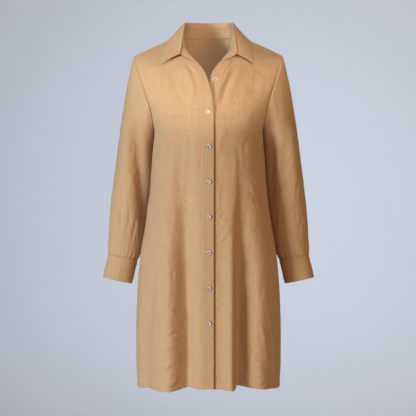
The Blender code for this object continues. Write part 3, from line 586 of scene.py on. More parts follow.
# what the seams do to the cloth beside them; a groove is (distance, width, depth)
seams = {
    "hemDepth": 9.0, "hemStitch": 7.8, "hemThick": 0.45, "hemEnd": 1.6, "hemGroove": (1.1, 0.495),
    "neckGroove": (0, 2.4, 0.5), "neckFade": (40, 20), "armGroove": (0.6, 2.0, 0.7),
    "bandClear": (16, 14), "openClear": (8, 26), "openFrom": -200.0,
    "creaseFade": 16.0, "swellFade": 30.0, "swell": 1.6, "swellShift": {"left": 300, "right": 0},
    "pullAt": 4, "pullReach": 8.0, "puckerStart": {"left": 20, "right": 31}, "pucker": (17.0, 2.8, 1.0),
    "edgeDip": (29.4, 1.2, 2.8), "dipFrom": (215, 40),
    "backFade": 18.0, "backSwell": 1.0, "backShift": 140, "backTop": 20.0,
}


def turnedHem(up):
    # the doubled hem is thicker, and its stitch line pulls in
    doubled = seams["hemThick"] * (1 - rising(up, seams["hemDepth"], seams["hemEnd"]))
    return doubled + groove(up, seams["hemStitch"], *seams["hemGroove"])


def finishedFront(side):
    grid = frontGrid(side)
    across, up = runAcross(grid), runUp(grid)
    fromSide = across[:, -1:] - across
    x, z = grid[..., 0], grid[..., 2]
    clear = np.where(z > seams["openFrom"], rising(across, *seams["openClear"]),
                     rising(np.abs(x), *seams["bandClear"]))
    out = creaseDepth(list(creases[side]) + wrinkles(side), x, z)
    out = out * clear * eased(fromSide / seams["creaseFade"])
    swell = ripples(across, z + seams["swellShift"][side], seams["swell"])
    out += swell * clear * eased(fromSide / seams["swellFade"])
    pull = np.exp(-((across - body["bandWidth"] - seams["pullAt"]) / seams["pullReach"]) ** 2)
    out += puckers(up, seams["puckerStart"][side], *seams["pucker"]) * pull
    if side == "right":
        # the cloth dips where the other front's edge lies on it
        out += groove(across, *seams["edgeDip"]) * rising(-z[:, :1], *seams["dipFrom"])
    out += turnedHem(up)
    out += groove(up[-1:] - up, *seams["neckGroove"]) * rising(across, *seams["neckFade"])
    out += groove(fromSide, *seams["armGroove"]) * (z[:, -1:] > body["underarmZ"])
    return raised(grid, normalsOf(grid), out), across, up


def finishedBack():
    half = backGrid()
    grid = np.concatenate([flipped(half, "left")[:, :0:-1], half], axis=1)
    across, up = runAcross(grid), runUp(grid)
    edge = np.minimum(across, across[:, -1:] - across)
    top = up[-1:] - up
    x, z = grid[..., 0], grid[..., 2]
    out = creaseDepth(list(creases["back"]) + wrinkles("back"), x, z) * eased(edge / seams["backFade"])
    swell = ripples(across, z + seams["backShift"], seams["backSwell"])
    out += swell * eased(edge / seams["swellFade"]) * eased(top / seams["backTop"])
    out += turnedHem(up)
    out += groove(top, *seams["neckGroove"])
    return raised(grid, -normalsOf(grid), out), up


# sleeves: rings that lean, from the armhole down to the cuff. Each ring is its height, outer
# and inner side, middle from front to back, half its depth, and how much it leans

sleeveRings = (
    (-300, 244.5, 148.6, 17, 50, 8), (-350, 251.0, 151.4, 22, 49, 10),
    (-393, 257.0, 154.2, 26, 48, 12), (-436, 262.5, 159.5, 29, 47, 14),
    (-479, 267.0, 164.0, 30, 45, 15), (-522, 270.0, 170.0, 29, 43, 15),
    (-556, 271.5, 177.0, 26, 40, 15), (-582, 272.5, 184.5, 23, 36, 15),
    (-598, 272.0, 192.5, 21, 31, 14),
)
cuffRings = (
    (-598.4, 271.8, 192.6, 20.9, 30.6, 14), (-620.0, 276.2, 197.6, 19, 29.5, 15),
    (-640.0, 280.5, 202.6, 17, 29.5, 16), (-662.3, 285.3, 208.0, 15, 29.5, 17),
)
sleeve = {
    "wall": 1.0, "capRings": 34, "ringSteps": 11, "capSpacing": 1.25, "turnOut": 10.0,
    "pullTop": (45, -40), "pullSide": (34, -58), "pullBottom": (6, -36),
    "creaseGain": {"left": 0.8, "right": 0.5}, "seed": {"left": 3, "right": 4},
    "swell": 0.8, "swellShift": {"left": 70, "right": 0}, "fade": 30.0,
    "pucker": (3, 7.5, 2.0, 0.5), "puckerReach": 6.0, "seam": (0.8, 1.6, 0.6), "head": (6, 4, -0.9),
}
cuff = {
    "wall": 2.0, "columns": 150, "ringSteps": 11, "start": 250.0, "lap": 26.0, "ramp": 40.0,
    "rise": 2.3, "edgeStitch": 4.0, "stitchGroove": (1.2, 0.35), "swell": 0.7,
    "pucker": (4, 11, 2.5, 0.35), "puckerReach": 5.0,
}
sleeveFoldNames = ("turnTop", "zTop", "turnLow", "zLow", "wide", "out")
sleeveFolds = {     # turn in degrees: 0 outside, 90 front, 180 inside
    "left": (
        (72, -185, 160, -565, 23, -13.0), (44, -210, 100, -500, 20, 3.5),
    ),
    "right": (
        (112, -190, 146, -520, 20, -5.5), (34, -200, 62, -470, 18, 3.0), (66, -220, 100, -480, 14, -2.5),
    ),
}
sleeveCreases = {     # the same columns, finer
    "left": (
        (88, -120, 112, -236, 7, -1.6), (104, -150, 128, -262, 8, 1.5), (72, -392, 66, -548, 5, -2.0),
        (60, -410, 58, -520, 4, 1.2), (84, -420, 78, -556, 5, 1.6), (96, -446, 90, -560, 4, -1.5),
        (50, -350, 78, -420, 6, 1.3), (110, -330, 82, -420, 6, 1.3), (30, -300, 40, -420, 9, -1.2),
        (118, -480, 108, -572, 5, -1.5), (142, -470, 150, -580, 7, 1.2), (10, -430, 22, -560, 8, 1.2),
        (215, -260, 236, -430, 10, -2.2), (250, -300, 224, -470, 9, 1.8),
        (280, -340, 262, -500, 9, -1.8), (300, -230, 320, -380, 11, 1.6),
        (236, -470, 250, -585, 6, -1.5), (330, -420, 338, -560, 8, -1.3),
    ),
    "right": (
        (92, -130, 120, -250, 8, -1.5), (60, -150, 76, -260, 9, 1.2), (46, -380, 70, -470, 6, -1.2),
        (84, -360, 66, -470, 6, 1.2), (96, -430, 92, -560, 5, -1.6), (78, -470, 74, -580, 5, 1.3),
        (58, -500, 54, -586, 4, -1.2), (112, -500, 108, -585, 5, 1.3), (20, -330, 30, -500, 9, 1.2),
        (132, -540, 126, -590, 5, -1.2), (220, -250, 240, -400, 10, -2.0),
        (262, -320, 234, -480, 9, 1.7), (292, -350, 274, -520, 9, -1.6), (312, -220, 330, -360, 11, 1.5),
        (240, -480, 256, -588, 6, -1.4), (340, -440, 344, -570, 8, -1.2),
    ),
}
sleeveFieldNames = ("turn1", "turn2", "z1", "z2", "count", "lean", "size")
sleeveWrinkleFields = (
    (60, 175, -300, -130, 26, 30, 0.9), (40, 150, -590, -430, 34, 8, 1.0), (60, 130, -430, -300, 20, 22, 0.9),
    (185, 350, -560, -200, 44, 18, 1.1), (0, 60, -500, -200, 14, 14, 0.8),
)
sleeveWrinkle = {"reach": (16, 44), "wide": (2.6, 4.4), "height": (0.5, 1.2)}


def sleeveWrinkles(side):
    dice = np.random.default_rng(sleeve["seed"][side])
    rows = []
    for field in sleeveWrinkleFields:
        f = dict(zip(sleeveFieldNames, field))
        for _ in range(f["count"]):
            turn, z = dice.uniform(f["turn1"], f["turn2"]), dice.uniform(f["z1"], f["z2"])
            tip, reach = dice.normal(0, f["lean"]), dice.uniform(*sleeveWrinkle["reach"])
            height = f["size"] * dice.uniform(*sleeveWrinkle["height"]) * dice.choice((-1, 1))
            wide = dice.uniform(*sleeveWrinkle["wide"])
            rows.append((turn - tip, z + reach, turn + tip, z - reach, wide, height))
    return tuple(rows)


def ring(values, turns):
    z, outer, inner, midY, deep, lean = values
    x = (outer + inner) / 2 + (outer - inner) / 2 * np.cos(turns)
    return np.stack([x, midY - deep * np.sin(turns), z + lean / 2 * np.cos(turns)], axis=1)


def tableRings(table, turns, steps):
    values = np.array(table, dtype=float)
    knots = np.arange(len(values), dtype=float)
    fine = np.linspace(0, len(values) - 1, (len(values) - 1) * steps + 1)
    columns = np.stack([smooth(knots, values[:, k], fine) for k in range(values.shape[1])], 1)
    return np.array([ring(v, turns) for v in columns])


def armhole(front, back):
    down = front[rowNumbers(body["frontSteps"]).index(body["underarmRow"]):, -1][::-1]
    up = back[rowNumbers(body["backSteps"]).index(body["underarmRow"]) + 1:-1, -1]
    return np.concatenate([down, up]), len(down) - 1


def sleeveGrid(front, back):
    hole, bottom = armhole(front, back)
    run = lengths(np.concatenate([hole, hole[:1]]))
    frontShare = run[:bottom + 1] / run[bottom]
    backShare = (run[bottom + 1:-1] - run[bottom]) / (run[-1] - run[bottom])
    turns = np.concatenate([frontShare * math.pi, math.pi + backShare * math.pi])
    rings = tableRings(sleeveRings, turns, sleeve["ringSteps"])
    share = {"pullTop": np.clip(np.cos(turns), 0, 1) ** 2, "pullSide": np.sin(turns) ** 2,
             "pullBottom": np.clip(-np.cos(turns), 0, 1) ** 2}
    start = np.stack([sum(share[k] * sleeve[k][0] for k in share), -sleeve["turnOut"] * np.sin(turns),
                      sum(share[k] * sleeve[k][1] for k in share)], axis=1)
    end = unit(rings[sleeve["ringSteps"]] - rings[0])
    end = end * np.linalg.norm(rings[0] - hole, axis=1, keepdims=True)
    cap = [bent(hole, rings[0], start, end, (k / sleeve["capRings"]) ** sleeve["capSpacing"])
           for k in range(sleeve["capRings"])]
    return np.concatenate([np.array(cap), rings]), turns


def sleeveDepth(rows, turns, z):
    out = np.zeros_like(z)
    for row in rows:
        f = dict(zip(sleeveFoldNames, row))
        t = np.clip((f["zTop"] - z) / (f["zTop"] - f["zLow"]), 0, 1)
        off = np.degrees(turns)[None, :] - (f["turnTop"] + (f["turnLow"] - f["turnTop"]) * t)
        out += f["out"] * np.sin(math.pi * t) * np.exp(-(off / f["wide"]) ** 2)
    return out


# pleats at the cuff, in degrees around the arm and mm up it. A measure that varies from pleat
# to pleat is its mean, its swing and a step that keeps neighbours unlike
gather = {
    "first": 8.0, "last": 352, "spacing": (14, 5, 4.3), "wide": (3.2, 1.1, 3.1), "size": (1.2, 0.5, 2.3),
    "reach": (26, 16, 1.9), "full": 2, "rise": 3, "behind": (200, 300), "behindGain": 1.3,
}


def varied(name, k):
    mean, swing, step = gather[name]
    return mean + swing * math.sin(k * step)


def cuffGathers(turns, below):
    # uneven small pleats held by the cuff seam, deepest at the back of the arm
    out = np.zeros((below.shape[0], len(turns)))
    angle, k = gather["first"], 0
    while angle < gather["last"]:
        behind = gather["behind"][0] < angle < gather["behind"][1]
        size = varied("size", k) * (gather["behindGain"] if behind else 1)
        fade = np.exp(-np.clip(below - gather["full"], 0, None) / varied("reach", k))
        off = (np.degrees(turns)[None, :] - angle) / varied("wide", k)
        out += size * fade * eased(below / gather["rise"]) * np.exp(-off ** 2)
        k += 1
        angle += varied("spacing", k)
    return out


def finishedSleeve(side, plain, turns):
    normal = normalsOf(plain, closed=True)
    folded = raised(plain, normal, sleeveDepth(sleeveFolds[side], turns, plain[..., 2]))
    folded[0] = plain[0]
    normal = normalsOf(folded, closed=True)
    down = runUp(folded)
    below = down[-1:] - down
    degrees = np.degrees(turns)[None, :]
    fine = sleeveCreases[side] + sleeveWrinkles(side)
    out = sleeve["creaseGain"][side] * sleeveDepth(fine, turns, folded[..., 2])
    out += cuffGathers(turns, below)
    swell = ripples(degrees * 0.9 + sleeve["swellShift"][side], folded[..., 2], sleeve["swell"])
    out += swell * eased(down / sleeve["fade"]) * eased(below / sleeve["fade"])
    around = puckers(np.broadcast_to(degrees, out.shape), *sleeve["pucker"])
    out += around * np.exp(-(down / sleeve["puckerReach"]) ** 2)
    out += groove(down, *sleeve["seam"]) + groove(down, *sleeve["head"])
    out[0] = 0
    return raised(folded, normal, out)


def cuffGrid():
    size = lengths(ring(cuffRings[0], np.linspace(0, 2 * math.pi, 90)))[-1]
    lap, ramp = 2 * math.pi * cuff["lap"] / size, 2 * math.pi * cuff["ramp"] / size
    start = math.radians(cuff["start"])
    turns = np.linspace(start, start + 2 * math.pi + lap, cuff["columns"] + 1)
    rise = eased((turns - start - 2 * math.pi + ramp) / ramp) * cuff["rise"]
    grid = tableRings(cuffRings, turns, cuff["ringSteps"])
    grid = grid + normalsOf(grid) * rise[None, :, None]
    down = runUp(grid)
    edge = np.minimum(down, down[-1:] - down)
    degrees = np.degrees(turns)[None, :]
    out = groove(edge, cuff["edgeStitch"], *cuff["stitchGroove"])
    out = out + ripples(degrees * 0.7, down * 1.6, cuff["swell"])
    around = puckers(np.broadcast_to(degrees - cuff["start"], out.shape), *cuff["pucker"])
    out = out + around * np.exp(-(edge / cuff["puckerReach"]) ** 2)
    return raised(grid, normalsOf(grid), out)


# collar: stand along the neck, leaf folded over it

collarNames = ("along", "topX", "topY", "topZ", "foldX", "foldY", "foldZ", "edgeX", "edgeY", "edgeZ")
collarTable = (
    (0.00, 0, 65.5, 25, 0, 66, 41.5, 0, 88, -7),
    (0.15, 28, 61, 25, 28, 62, 41.5, 33, 84, -7),
    (0.30, 51, 47, 24.5, 51, 48, 39.8, 65, 70, -9),
    (0.42, 59.5, 28, 22.0, 59.0, 28, 36.8, 84.0, 46, -9.5),
    (0.52, 63, 9, 17, 62, 7, 34, 97, 19, -6),
    (0.63, 65, -10, 3, 64.5, -13, 17, 107.5, -1, -12),
    (0.75, 67.5, -29, -16, 68.5, -32, -7, 116.5, -19, -31),
    (0.87, 69.5, -46, -38, 72, -49, -33, 119.5, -45, -57),
    (1.00, 73, -60, -58, 75.5, -61.5, -55, 121, -71, -83.5),
)
collar = {
    "wall": 1.6, "stations": (50, 56), "standRows": 12, "leafRows": 44, "bow": 1.6, "bowPoints": 6,
    "foldRound": 2.6, "roll": ((0.0, 1.0), (0.13, 0.0), (0.9, 0.0), (2.0, 0.9)),
    "standUp": 0.9, "rollStart": 0.5, "rollReach": 0.3, "bandStart": 0.8, "bandReach": 0.1,
    "bandHeight": 1.3, "seamHeight": 0.9, "standEnd": 8.0, "endSpan": 14, "endTaper": 2.2, "endRound": 0.6,
    "leafUp": 0.2, "leafStitch": (5.0, 1.1, 0.4), "tipFrom": 14.0, "swell": 0.5,
}


def cornerRow(grid):
    return int(np.argmin(np.abs(grid[:, 0, 2] - body["cornerZ"])))


def collarLines(front, frontNormal, backNormal):
    corner, neck = cornerRow(front), body["neckColumns"]
    seam = np.concatenate([neckLineBack(neck)[:-1], front[corner:, 0][::-1]])
    facing = np.concatenate([backNormal[-1, :neck], frontNormal[corner:, 0][::-1]])
    run = lengths(seam)
    shoulder = run[neck] / run[-1]
    share = np.concatenate([np.linspace(0, shoulder, collar["stations"][0] + 1),
                            np.linspace(shoulder, 1, collar["stations"][1] + 1)[1:]])
    low = along(seam, share * run[-1])
    facing = unit(along(facing, share * run[-1], run))
    knots = column(collarTable, collarNames, "along")
    top, fold, edge = [np.stack([smooth(knots, column(collarTable, collarNames, part + axis), share)
                                 for axis in "XYZ"], axis=1) for part in ("top", "fold", "edge")]
    rolled = np.clip((share - collar["rollStart"]) / collar["rollReach"], 0, 1)[:, None]
    low = low + unit(top - low) * collar["standUp"] * (1 - rolled)
    overBand = np.clip((share - collar["bandStart"]) / collar["bandReach"], 0, 1)[:, None]
    height = collar["seamHeight"] + collar["wall"] / 2 * rolled + overBand * collar["bandHeight"]
    return low + facing * height, top, fold, edge


def standGrid(low, top):
    rows = [low + (top - low) * k / collar["standRows"] for k in range(collar["standRows"] + 1)]
    half = np.array(rows).transpose(1, 0, 2)
    ahead = unit(half[-1] - half[-4])
    shape = np.sin(np.linspace(0, math.pi, collar["standRows"] + 1)) ** collar["endRound"]
    for k in range(collar["endSpan"]):
        share = (1 - k / collar["endSpan"]) ** collar["endTaper"]
        half[-1 - k] += ahead * (collar["standEnd"] * share * shape)[:, None]
    return bothHalves(half)


def leafLine(top, fold, edge):
    fall, rise = unit(edge - fold), unit(fold - top)
    away = unit(fall - rise * np.dot(fall, rise))
    points = [top + rise * collar["leafUp"]]
    for out, down in collar["roll"]:
        points.append(fold + (away * out - rise * down) * collar["foldRound"])
    over = points[-1]
    bulge = unit(np.cross(np.cross(edge - over, rise), edge - over))
    for k in range(collar["bowPoints"]):
        t = (k + 1) / collar["bowPoints"]
        points.append(over + (edge - over) * t + bulge * math.sin(math.pi * t) * collar["bow"])
    points = np.array(points)
    run = lengths(points)
    fine = np.linspace(0, run[-1], collar["leafRows"] + 1)
    return np.stack([smooth(run, points[:, k], fine) for k in range(3)], axis=1)


def leafGrid(top, fold, edge):
    grid = bothHalves(np.array([leafLine(t, f, e) for t, f, e in zip(top, fold, edge)]))
    out, around = runAcross(grid), runUp(grid)
    tips = np.where(out > collar["tipFrom"], np.minimum(around, around[-1:] - around), 99)
    fromEdge = np.minimum(out[:, -1:] - out, tips)
    height = groove(fromEdge, *collar["leafStitch"]) + ripples(around, out * 2, collar["swell"])
    return raised(grid, normalsOf(grid), height)


# cloth pieces as meshes


def gridMesh(name, grid, facing, places, closed=False):
    rows, columns = grid.shape[:2]
    mesh = bpy.data.meshes.new(name)
    faces, corners = [], []
    turned = float(np.sum(normalsOf(grid, closed) * facing)) < 0
    for i in range(rows - 1):
        for j in range(columns if closed else columns - 1):
            k = (j + 1) % columns
            face = [i * columns + j, i * columns + k, (i + 1) * columns + k, (i + 1) * columns + j]
            spot = [(i, j), (i, j + 1), (i + 1, j + 1), (i + 1, j)]
            if turned:
                face.reverse()
                spot.reverse()
            faces.append(face)
            corners += spot
    mesh.from_pydata([tuple(p) for p in grid.reshape(-1, 3) * mm], [], faces)
    layer = mesh.uv_layers.new(name="cloth")
    corners = np.array(corners)
    flat = places[corners[:, 0], corners[:, 1]] * mm
    layer.data.foreach_set("uv", flat.astype(np.float32).ravel())
    mesh.validate()
    piece = bpy.data.objects.new(name, mesh)
    bpy.context.collection.objects.link(piece)
    return piece


def ringClosed(grid, closed):
    # a closed ring gets one more column, a full turn on
    return np.concatenate([grid, grid[:, :1]], axis=1) if closed else grid


def clothPlaces(grid, closed):
    # where each point lies on the cut-out cloth
    whole = ringClosed(grid, closed)
    across = runAcross(whole)
    return np.stack([across - across[:, -1:] / 2, runUp(whole)], axis=2)


def clothPiece(name, side, grid, facing, wall, node, closed=False, places=None):
    places = clothPlaces(grid, closed) if places is None else places
    piece = gridMesh(name, flipped(grid, side), flipped(facing, side), places, closed)
    piece.data.materials.append(linen)
    bpy.context.view_layer.objects.active = piece
    thick = piece.modifiers.new("wall", "SOLIDIFY")
    thick.thickness = wall * mm
    thick.offset = 0
    bpy.ops.object.modifier_apply(modifier="wall")
    for face in piece.data.polygons:
        face.use_smooth = True
    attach(piece, "root")
    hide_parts(node)
    return piece


def stateSheet(piece, grid, closed=False):
    # what the cloth measures when it is laid flat again, in metres
    whole = ringClosed(grid, closed)
    a, b = np.diff(whole, axis=1)[:-1] * mm, np.diff(whole, axis=0)[:, :-1] * mm
    area = float(np.linalg.norm(np.cross(a, b), axis=2).sum())
    width, length = float(runAcross(whole)[:, -1].max() * mm), float(runUp(whole)[-1].max() * mm)
    area = min(area, width * length)
    print(piece.name, "cut", round(width, 3), "by", round(length, 3), "area", round(area, 4))


# sewing thread: each stitch is one small tapered bar

thread = {"pitch": 3.0, "length": 2.1, "radius": 0.22, "lift": 0.02}
barRings = ((0.0, 0.35, -0.35), (0.25, 1.0, 0.1), (0.75, 1.0, 0.1), (1.0, 0.35, -0.35))


def stitchBars(bars):
    points, faces = [], []
    for start, end, up in bars:
        ahead = end - start
        side = unit(np.cross(ahead, up))
        up = unit(np.cross(side, ahead))
        first = len(points)
        for t, size, high in barRings:
            middle = start + ahead * t + up * thread["radius"] * high
            for a, b in ((1, 0), (0, 1), (-1, 0), (0, -1)):
                points.append(middle + (side * a + up * b) * thread["radius"] * size)
        for k in range(3):
            for j in range(4):
                a, b = first + 4 * k + j, first + 4 * k + (j + 1) % 4
                faces.append((a, b, b + 4, a + 4))
        faces.append(tuple(first + j for j in (3, 2, 1, 0)))
        faces.append(tuple(first + 12 + j for j in (0, 1, 2, 3)))
    return points, faces


def barsAlong(line, facing):
    run = lengths(line)
    pitch = thread["pitch"]
    count = int(run[-1] / pitch)
    starts = np.arange(count) * pitch + (run[-1] - count * pitch) / 2
    first, last = along(line, starts, run), along(line, starts + thread["length"], run)
    ups = along(facing, starts, run)
    return [(a + u * thread["lift"], b + u * thread["lift"], unit(u)) for a, b, u in zip(first, last, ups)]


def threadPiece(name, bars, look):
    points, faces = stitchBars(bars)
    mesh = bpy.data.meshes.new(name)
    mesh.from_pydata([tuple(p) for p in np.array(points) * mm], [], faces)
    piece = bpy.data.objects.new(name, mesh)
    bpy.context.collection.objects.link(piece)
    mesh.materials.append(look)
    bm = bmesh.new()
    bm.from_mesh(mesh)
    bmesh.ops.recalc_face_normals(bm, faces=bm.faces)
    bm.to_mesh(mesh)
    bm.free()
    for face in mesh.polygons:
        face.use_smooth = True
    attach(piece, "root")
    return piece


def lineOn(grid, normal, height, runs, where):
    # for each row, the point at a run across it, lifted to the cloth's outer face
    points, facing = [], []
    for row, face, run in zip(grid, normal, runs):
        points.append([np.interp(where, run, row[:, k]) for k in range(3)])
        facing.append([np.interp(where, run, face[:, k]) for k in range(3)])
    facing = unit(np.array(facing))
    return np.array(points) + facing * height, facing


stitches = {"left": [], "right": [], "back": []}


def sew(side, grid, normal, wall, runs, where):
    line, facing = lineOn(grid, normal, wall / 2, runs, where)
    stitches[side] += barsAlong(flipped(line, side), flipped(facing, side))


def sewUpright(side, grid, normal, wall, runs, where):
    # the same along a row's direction, such as a hem
    sew(side, grid.transpose(1, 0, 2), normal.transpose(1, 0, 2), wall, runs.T, where)


# materials

linenWeave = {
    "colour": "C5A27B", "dark": "B48D5F", "pale": "DCBC93", "streaks": 0.19,
    "threadSpacing": 1.1,      # real threads lie 0.5 mm apart, drawn coarser so they show
    "weftShare": 0.34,         # the warp hangs down the garment and shows more than the weft
    "slubWidth": 3.0, "slubLength": 110.0, "weftLength": 26.0, "crumple": 24.0, "pressed": 70.0,
    "weaveBump": (0.35, 0.25), "slubBump": (0.16, 0.3), "crumpleBump": (0.65, 2.9), "pressedBump": (0.7, 2.6),
}
# the dish colour is dark: painted shade for the button's hollow middle
buttonLook = {"colour": "C2B9AD", "dark": "8B8077", "pale": "ECE7DF", "dish": "4B423B", "cloud": 5.0}


def threadLines(tree, places, axis, slubSize):
    # one set of threads: fine bands with slubs, thicker stretches along a thread
    spacing = linenWeave["threadSpacing"] * mm
    slub = addNode(tree, "ShaderNodeMapping", {"Scale": slubSize}, {"Vector": places})
    swell = addNode(tree, "ShaderNodeTexNoise", {"Scale": 1.0, "Detail": 3.0, "Roughness": 0.6},
                    {"Vector": slub.outputs["Vector"]})
    # the wave texture has one band a unit at a scale of 0.31416
    bands = addNode(tree, "ShaderNodeTexWave",
                    {"bands_direction": axis, "Scale": 0.31416 / spacing, "Distortion": 1.2,
                     "Detail": 1.0, "Detail Scale": 0.4}, {"Vector": places})
    return swell.outputs["Fac"], bands.outputs["Fac"]


def addBump(tree, size, height, under=None):
    strength, depth = size
    links = {"Height": height, "Normal": under} if under else {"Height": height}
    bump = addNode(tree, "ShaderNodeBump", {"Strength": strength, "Distance": depth * mm}, links)
    return bump.outputs["Normal"]


def linenMaterial():
    # plain-woven linen: matt, with long uneven slubs both ways and a soft crumpled hand
    look, tree, shader = newMaterial("woven linen", {
        "Roughness": 0.86, "Specular IOR Level": 0.22,
        "Sheen Weight": 0.3, "Sheen Roughness": 0.5, "Sheen Tint": linear("FFF2E0")})
    places = addNode(tree, "ShaderNodeUVMap", {"uv_map": "cloth"}).outputs["UV"]
    width, length, weftLength = [linenWeave[k] * mm for k in ("slubWidth", "slubLength", "weftLength")]
    warpSlub, warp = threadLines(tree, places, "X", (1 / width, 1 / length, 1))
    weftSlub, weft = threadLines(tree, places, "Y", (1 / weftLength, 1 / width, 1))
    slubs = addNode(tree, "ShaderNodeMix", {"data_type": "FLOAT", 0: linenWeave["weftShare"]},
                    {2: warpSlub, 3: weftSlub})
    cloud = addNode(tree, "ShaderNodeTexNoise", {"Scale": 1 / (linenWeave["crumple"] * mm), "Detail": 5.0,
                                                 "Roughness": 0.62, "Distortion": 0.5}, {"Vector": places})
    shade = addNode(tree, "ShaderNodeMapRange", {"From Min": 0.36, "From Max": 0.64},
                    {"Value": slubs.outputs[0]})
    streaks = addNode(tree, "ShaderNodeMix", {"data_type": "RGBA", 6: linear(linenWeave["dark"]),
                                              7: linear(linenWeave["pale"])}, {0: shade.outputs[0]})
    cloth = addNode(tree, "ShaderNodeMix", {"data_type": "RGBA", 0: linenWeave["streaks"],
                                            6: linear(linenWeave["colour"])}, {7: streaks.outputs[2]})
    cells = addNode(tree, "ShaderNodeMath", {"operation": "MULTIPLY"}, {0: warp, 1: weft})
    cells = addNode(tree, "ShaderNodeMapRange", {"To Min": 0.9, "To Max": 1.06}, {"Value": cells.outputs[0]})
    woven = addNode(tree, "ShaderNodeMix", {"data_type": "RGBA", "blend_type": "MULTIPLY", 0: 1.0},
                    {6: cloth.outputs[2], 7: cells.outputs[0]})
    tree.links.new(woven.outputs[2], shader.inputs["Base Color"])
    weave = addBump(tree, linenWeave["weaveBump"], cells.outputs[0])
    lumps = addBump(tree, linenWeave["slubBump"], slubs.outputs[0], weave)
    hand = addBump(tree, linenWeave["crumpleBump"], cloud.outputs["Fac"], lumps)
    # short pressed-in creases, sharp along their tops
    tilted = addNode(tree, "ShaderNodeMapping", {"Rotation": (0, 0, 0.5), "Scale": (1.5, 0.8, 1)},
                     {"Vector": places})
    pressed = addNode(tree, "ShaderNodeTexNoise",
                      {"noise_type": "RIDGED_MULTIFRACTAL", "Scale": 1 / (linenWeave["pressed"] * mm),
                       "Detail": 2.5, "Distortion": 0.7}, {"Vector": tilted.outputs["Vector"]})
    creased = addBump(tree, linenWeave["pressedBump"], pressed.outputs["Fac"], hand)
    tree.links.new(creased, shader.inputs["Normal"])
    return look


def threadMaterial(name, colour):
    # spun polyester sewing thread: a touch smoother than the linen
    return newMaterial(name, {"Roughness": 0.6, "Sheen Weight": 0.1, "Base Color": linear(colour)})[0]


def buttonMaterial():
    # smoke-grey shell, polished: glossy, with soft cloudy bands through it
    look, tree, shader = newMaterial("polished grey shell", {"Roughness": 0.22, "Coat Weight": 0.35,
                                                             "Coat Roughness": 0.12})
    place = addNode(tree, "ShaderNodeTexCoord").outputs["Object"]
    cloud = addNode(tree, "ShaderNodeTexNoise", {"Scale": 1 / (buttonLook["cloud"] * mm), "Detail": 4.0,
                                                 "Distortion": 1.6}, {"Vector": place})
    ramp = addNode(tree, "ShaderNodeValToRGB", {}, {"Fac": cloud.outputs["Fac"]})
    ramp.color_ramp.elements[0].position = 0.32
    ramp.color_ramp.elements[0].color = linear(buttonLook["dark"])
    ramp.color_ramp.elements[1].position = 0.68
    ramp.color_ramp.elements[1].color = linear(buttonLook["pale"])
    middle = ramp.color_ramp.elements.new(0.5)
    middle.color = linear(buttonLook["colour"])
    tree.links.new(ramp.outputs["Color"], shader.inputs["Base Color"])
    return look


def dishShadeMaterial():
    # the ground-out middle of the button, left matt; its dark colour is painted shade for the hollow, so it
    # reads darker than the rim
    return newMaterial("matt grey shell with painted dish shade", {"Roughness": 0.65, "Base Color": linear(buttonLook["dish"])})[0]


linen = linenMaterial()
sewingThread = threadMaterial("spun sewing thread", "B98D5C")
buttonThread = threadMaterial("dark button thread", "6F5D4B")
shell = buttonMaterial()
dish = dishShadeMaterial()
print("materials made")

# fronts, with the band along each open edge

band = {
    "wall": 0.8, "height": 1.15, "edgeStitch": 3.0, "innerStitch": 28.5, "stitchGroove": (1.1, 0.15),
    "sink": 0.95, "sinkReach": 2.2, "edgeRoll": 0.6, "rollReach": 1.6,
    "pucker": (12, 13.0, 2.4, 0.3), "puckerReach": 4.0,
}


def bandSheet(grid, normal):
    # the band lies on the front's edge and sinks into its seam
    rows, columns = cornerRow(grid) + 1, body["bandColumns"] + 1
    strip, facing = grid[:rows, :columns], normal[:rows, :columns]
    run = runAcross(strip)
    inner = run[:, -1:] - run
    height = band["height"] - band["sink"] * (1 - eased(inner / band["sinkReach"]))
    height = height + groove(np.minimum(run, inner), band["edgeStitch"], *band["stitchGroove"])
    height = height + band["edgeRoll"] * np.exp(-(run / band["rollReach"]) ** 2)
    pull = np.exp(-((run - band["innerStitch"]) / band["puckerReach"]) ** 2)
    height = height + puckers(runUp(strip), *band["pucker"]) * pull
    return raised(strip, facing, height), facing, run


pieces, sheets, bands = {}, {}, {}
for side in ("left", "right"):
    grid, across, up = finishedFront(side)
    normal = normalsOf(grid)
    strip, facing, stripRun = bandSheet(grid, normal)
    # the weave is laid out from the middle line, so that its threads hang straight
    straight = edgeValue(frontEdge, side, grid[:, 0, 2])
    places = np.stack([across + straight[:, None], up], axis=2)
    pieces["front_" + side] = clothPiece("frontPanel_" + side, side, grid, normal, body["wall"],
                                         "front_" + side, places=places)
    pieces["band_" + side] = clothPiece("frontBand_" + side, side, strip, facing, band["wall"],
                                        "band_" + side)
    sheets["front_" + side], sheets["band_" + side] = grid, strip
    bands[side] = (strip, facing, stripRun)
    for at in (band["edgeStitch"], band["innerStitch"]):
        sew(side, strip, facing, band["wall"], stripRun, at)
    rest = slice(body["bandColumns"], None)
    sewUpright(side, grid[:, rest], normal[:, rest], body["wall"], up[:, rest], seams["hemStitch"])
print("fronts made")

# back

sheets["back"], backUp = finishedBack()
backNormal = -normalsOf(sheets["back"])
pieces["back"] = clothPiece("backPanel", "back", sheets["back"], backNormal, body["wall"], "back")
sewUpright("back", sheets["back"], backNormal, body["wall"], backUp, seams["hemStitch"])
print("back made")

# sleeves and cuffs

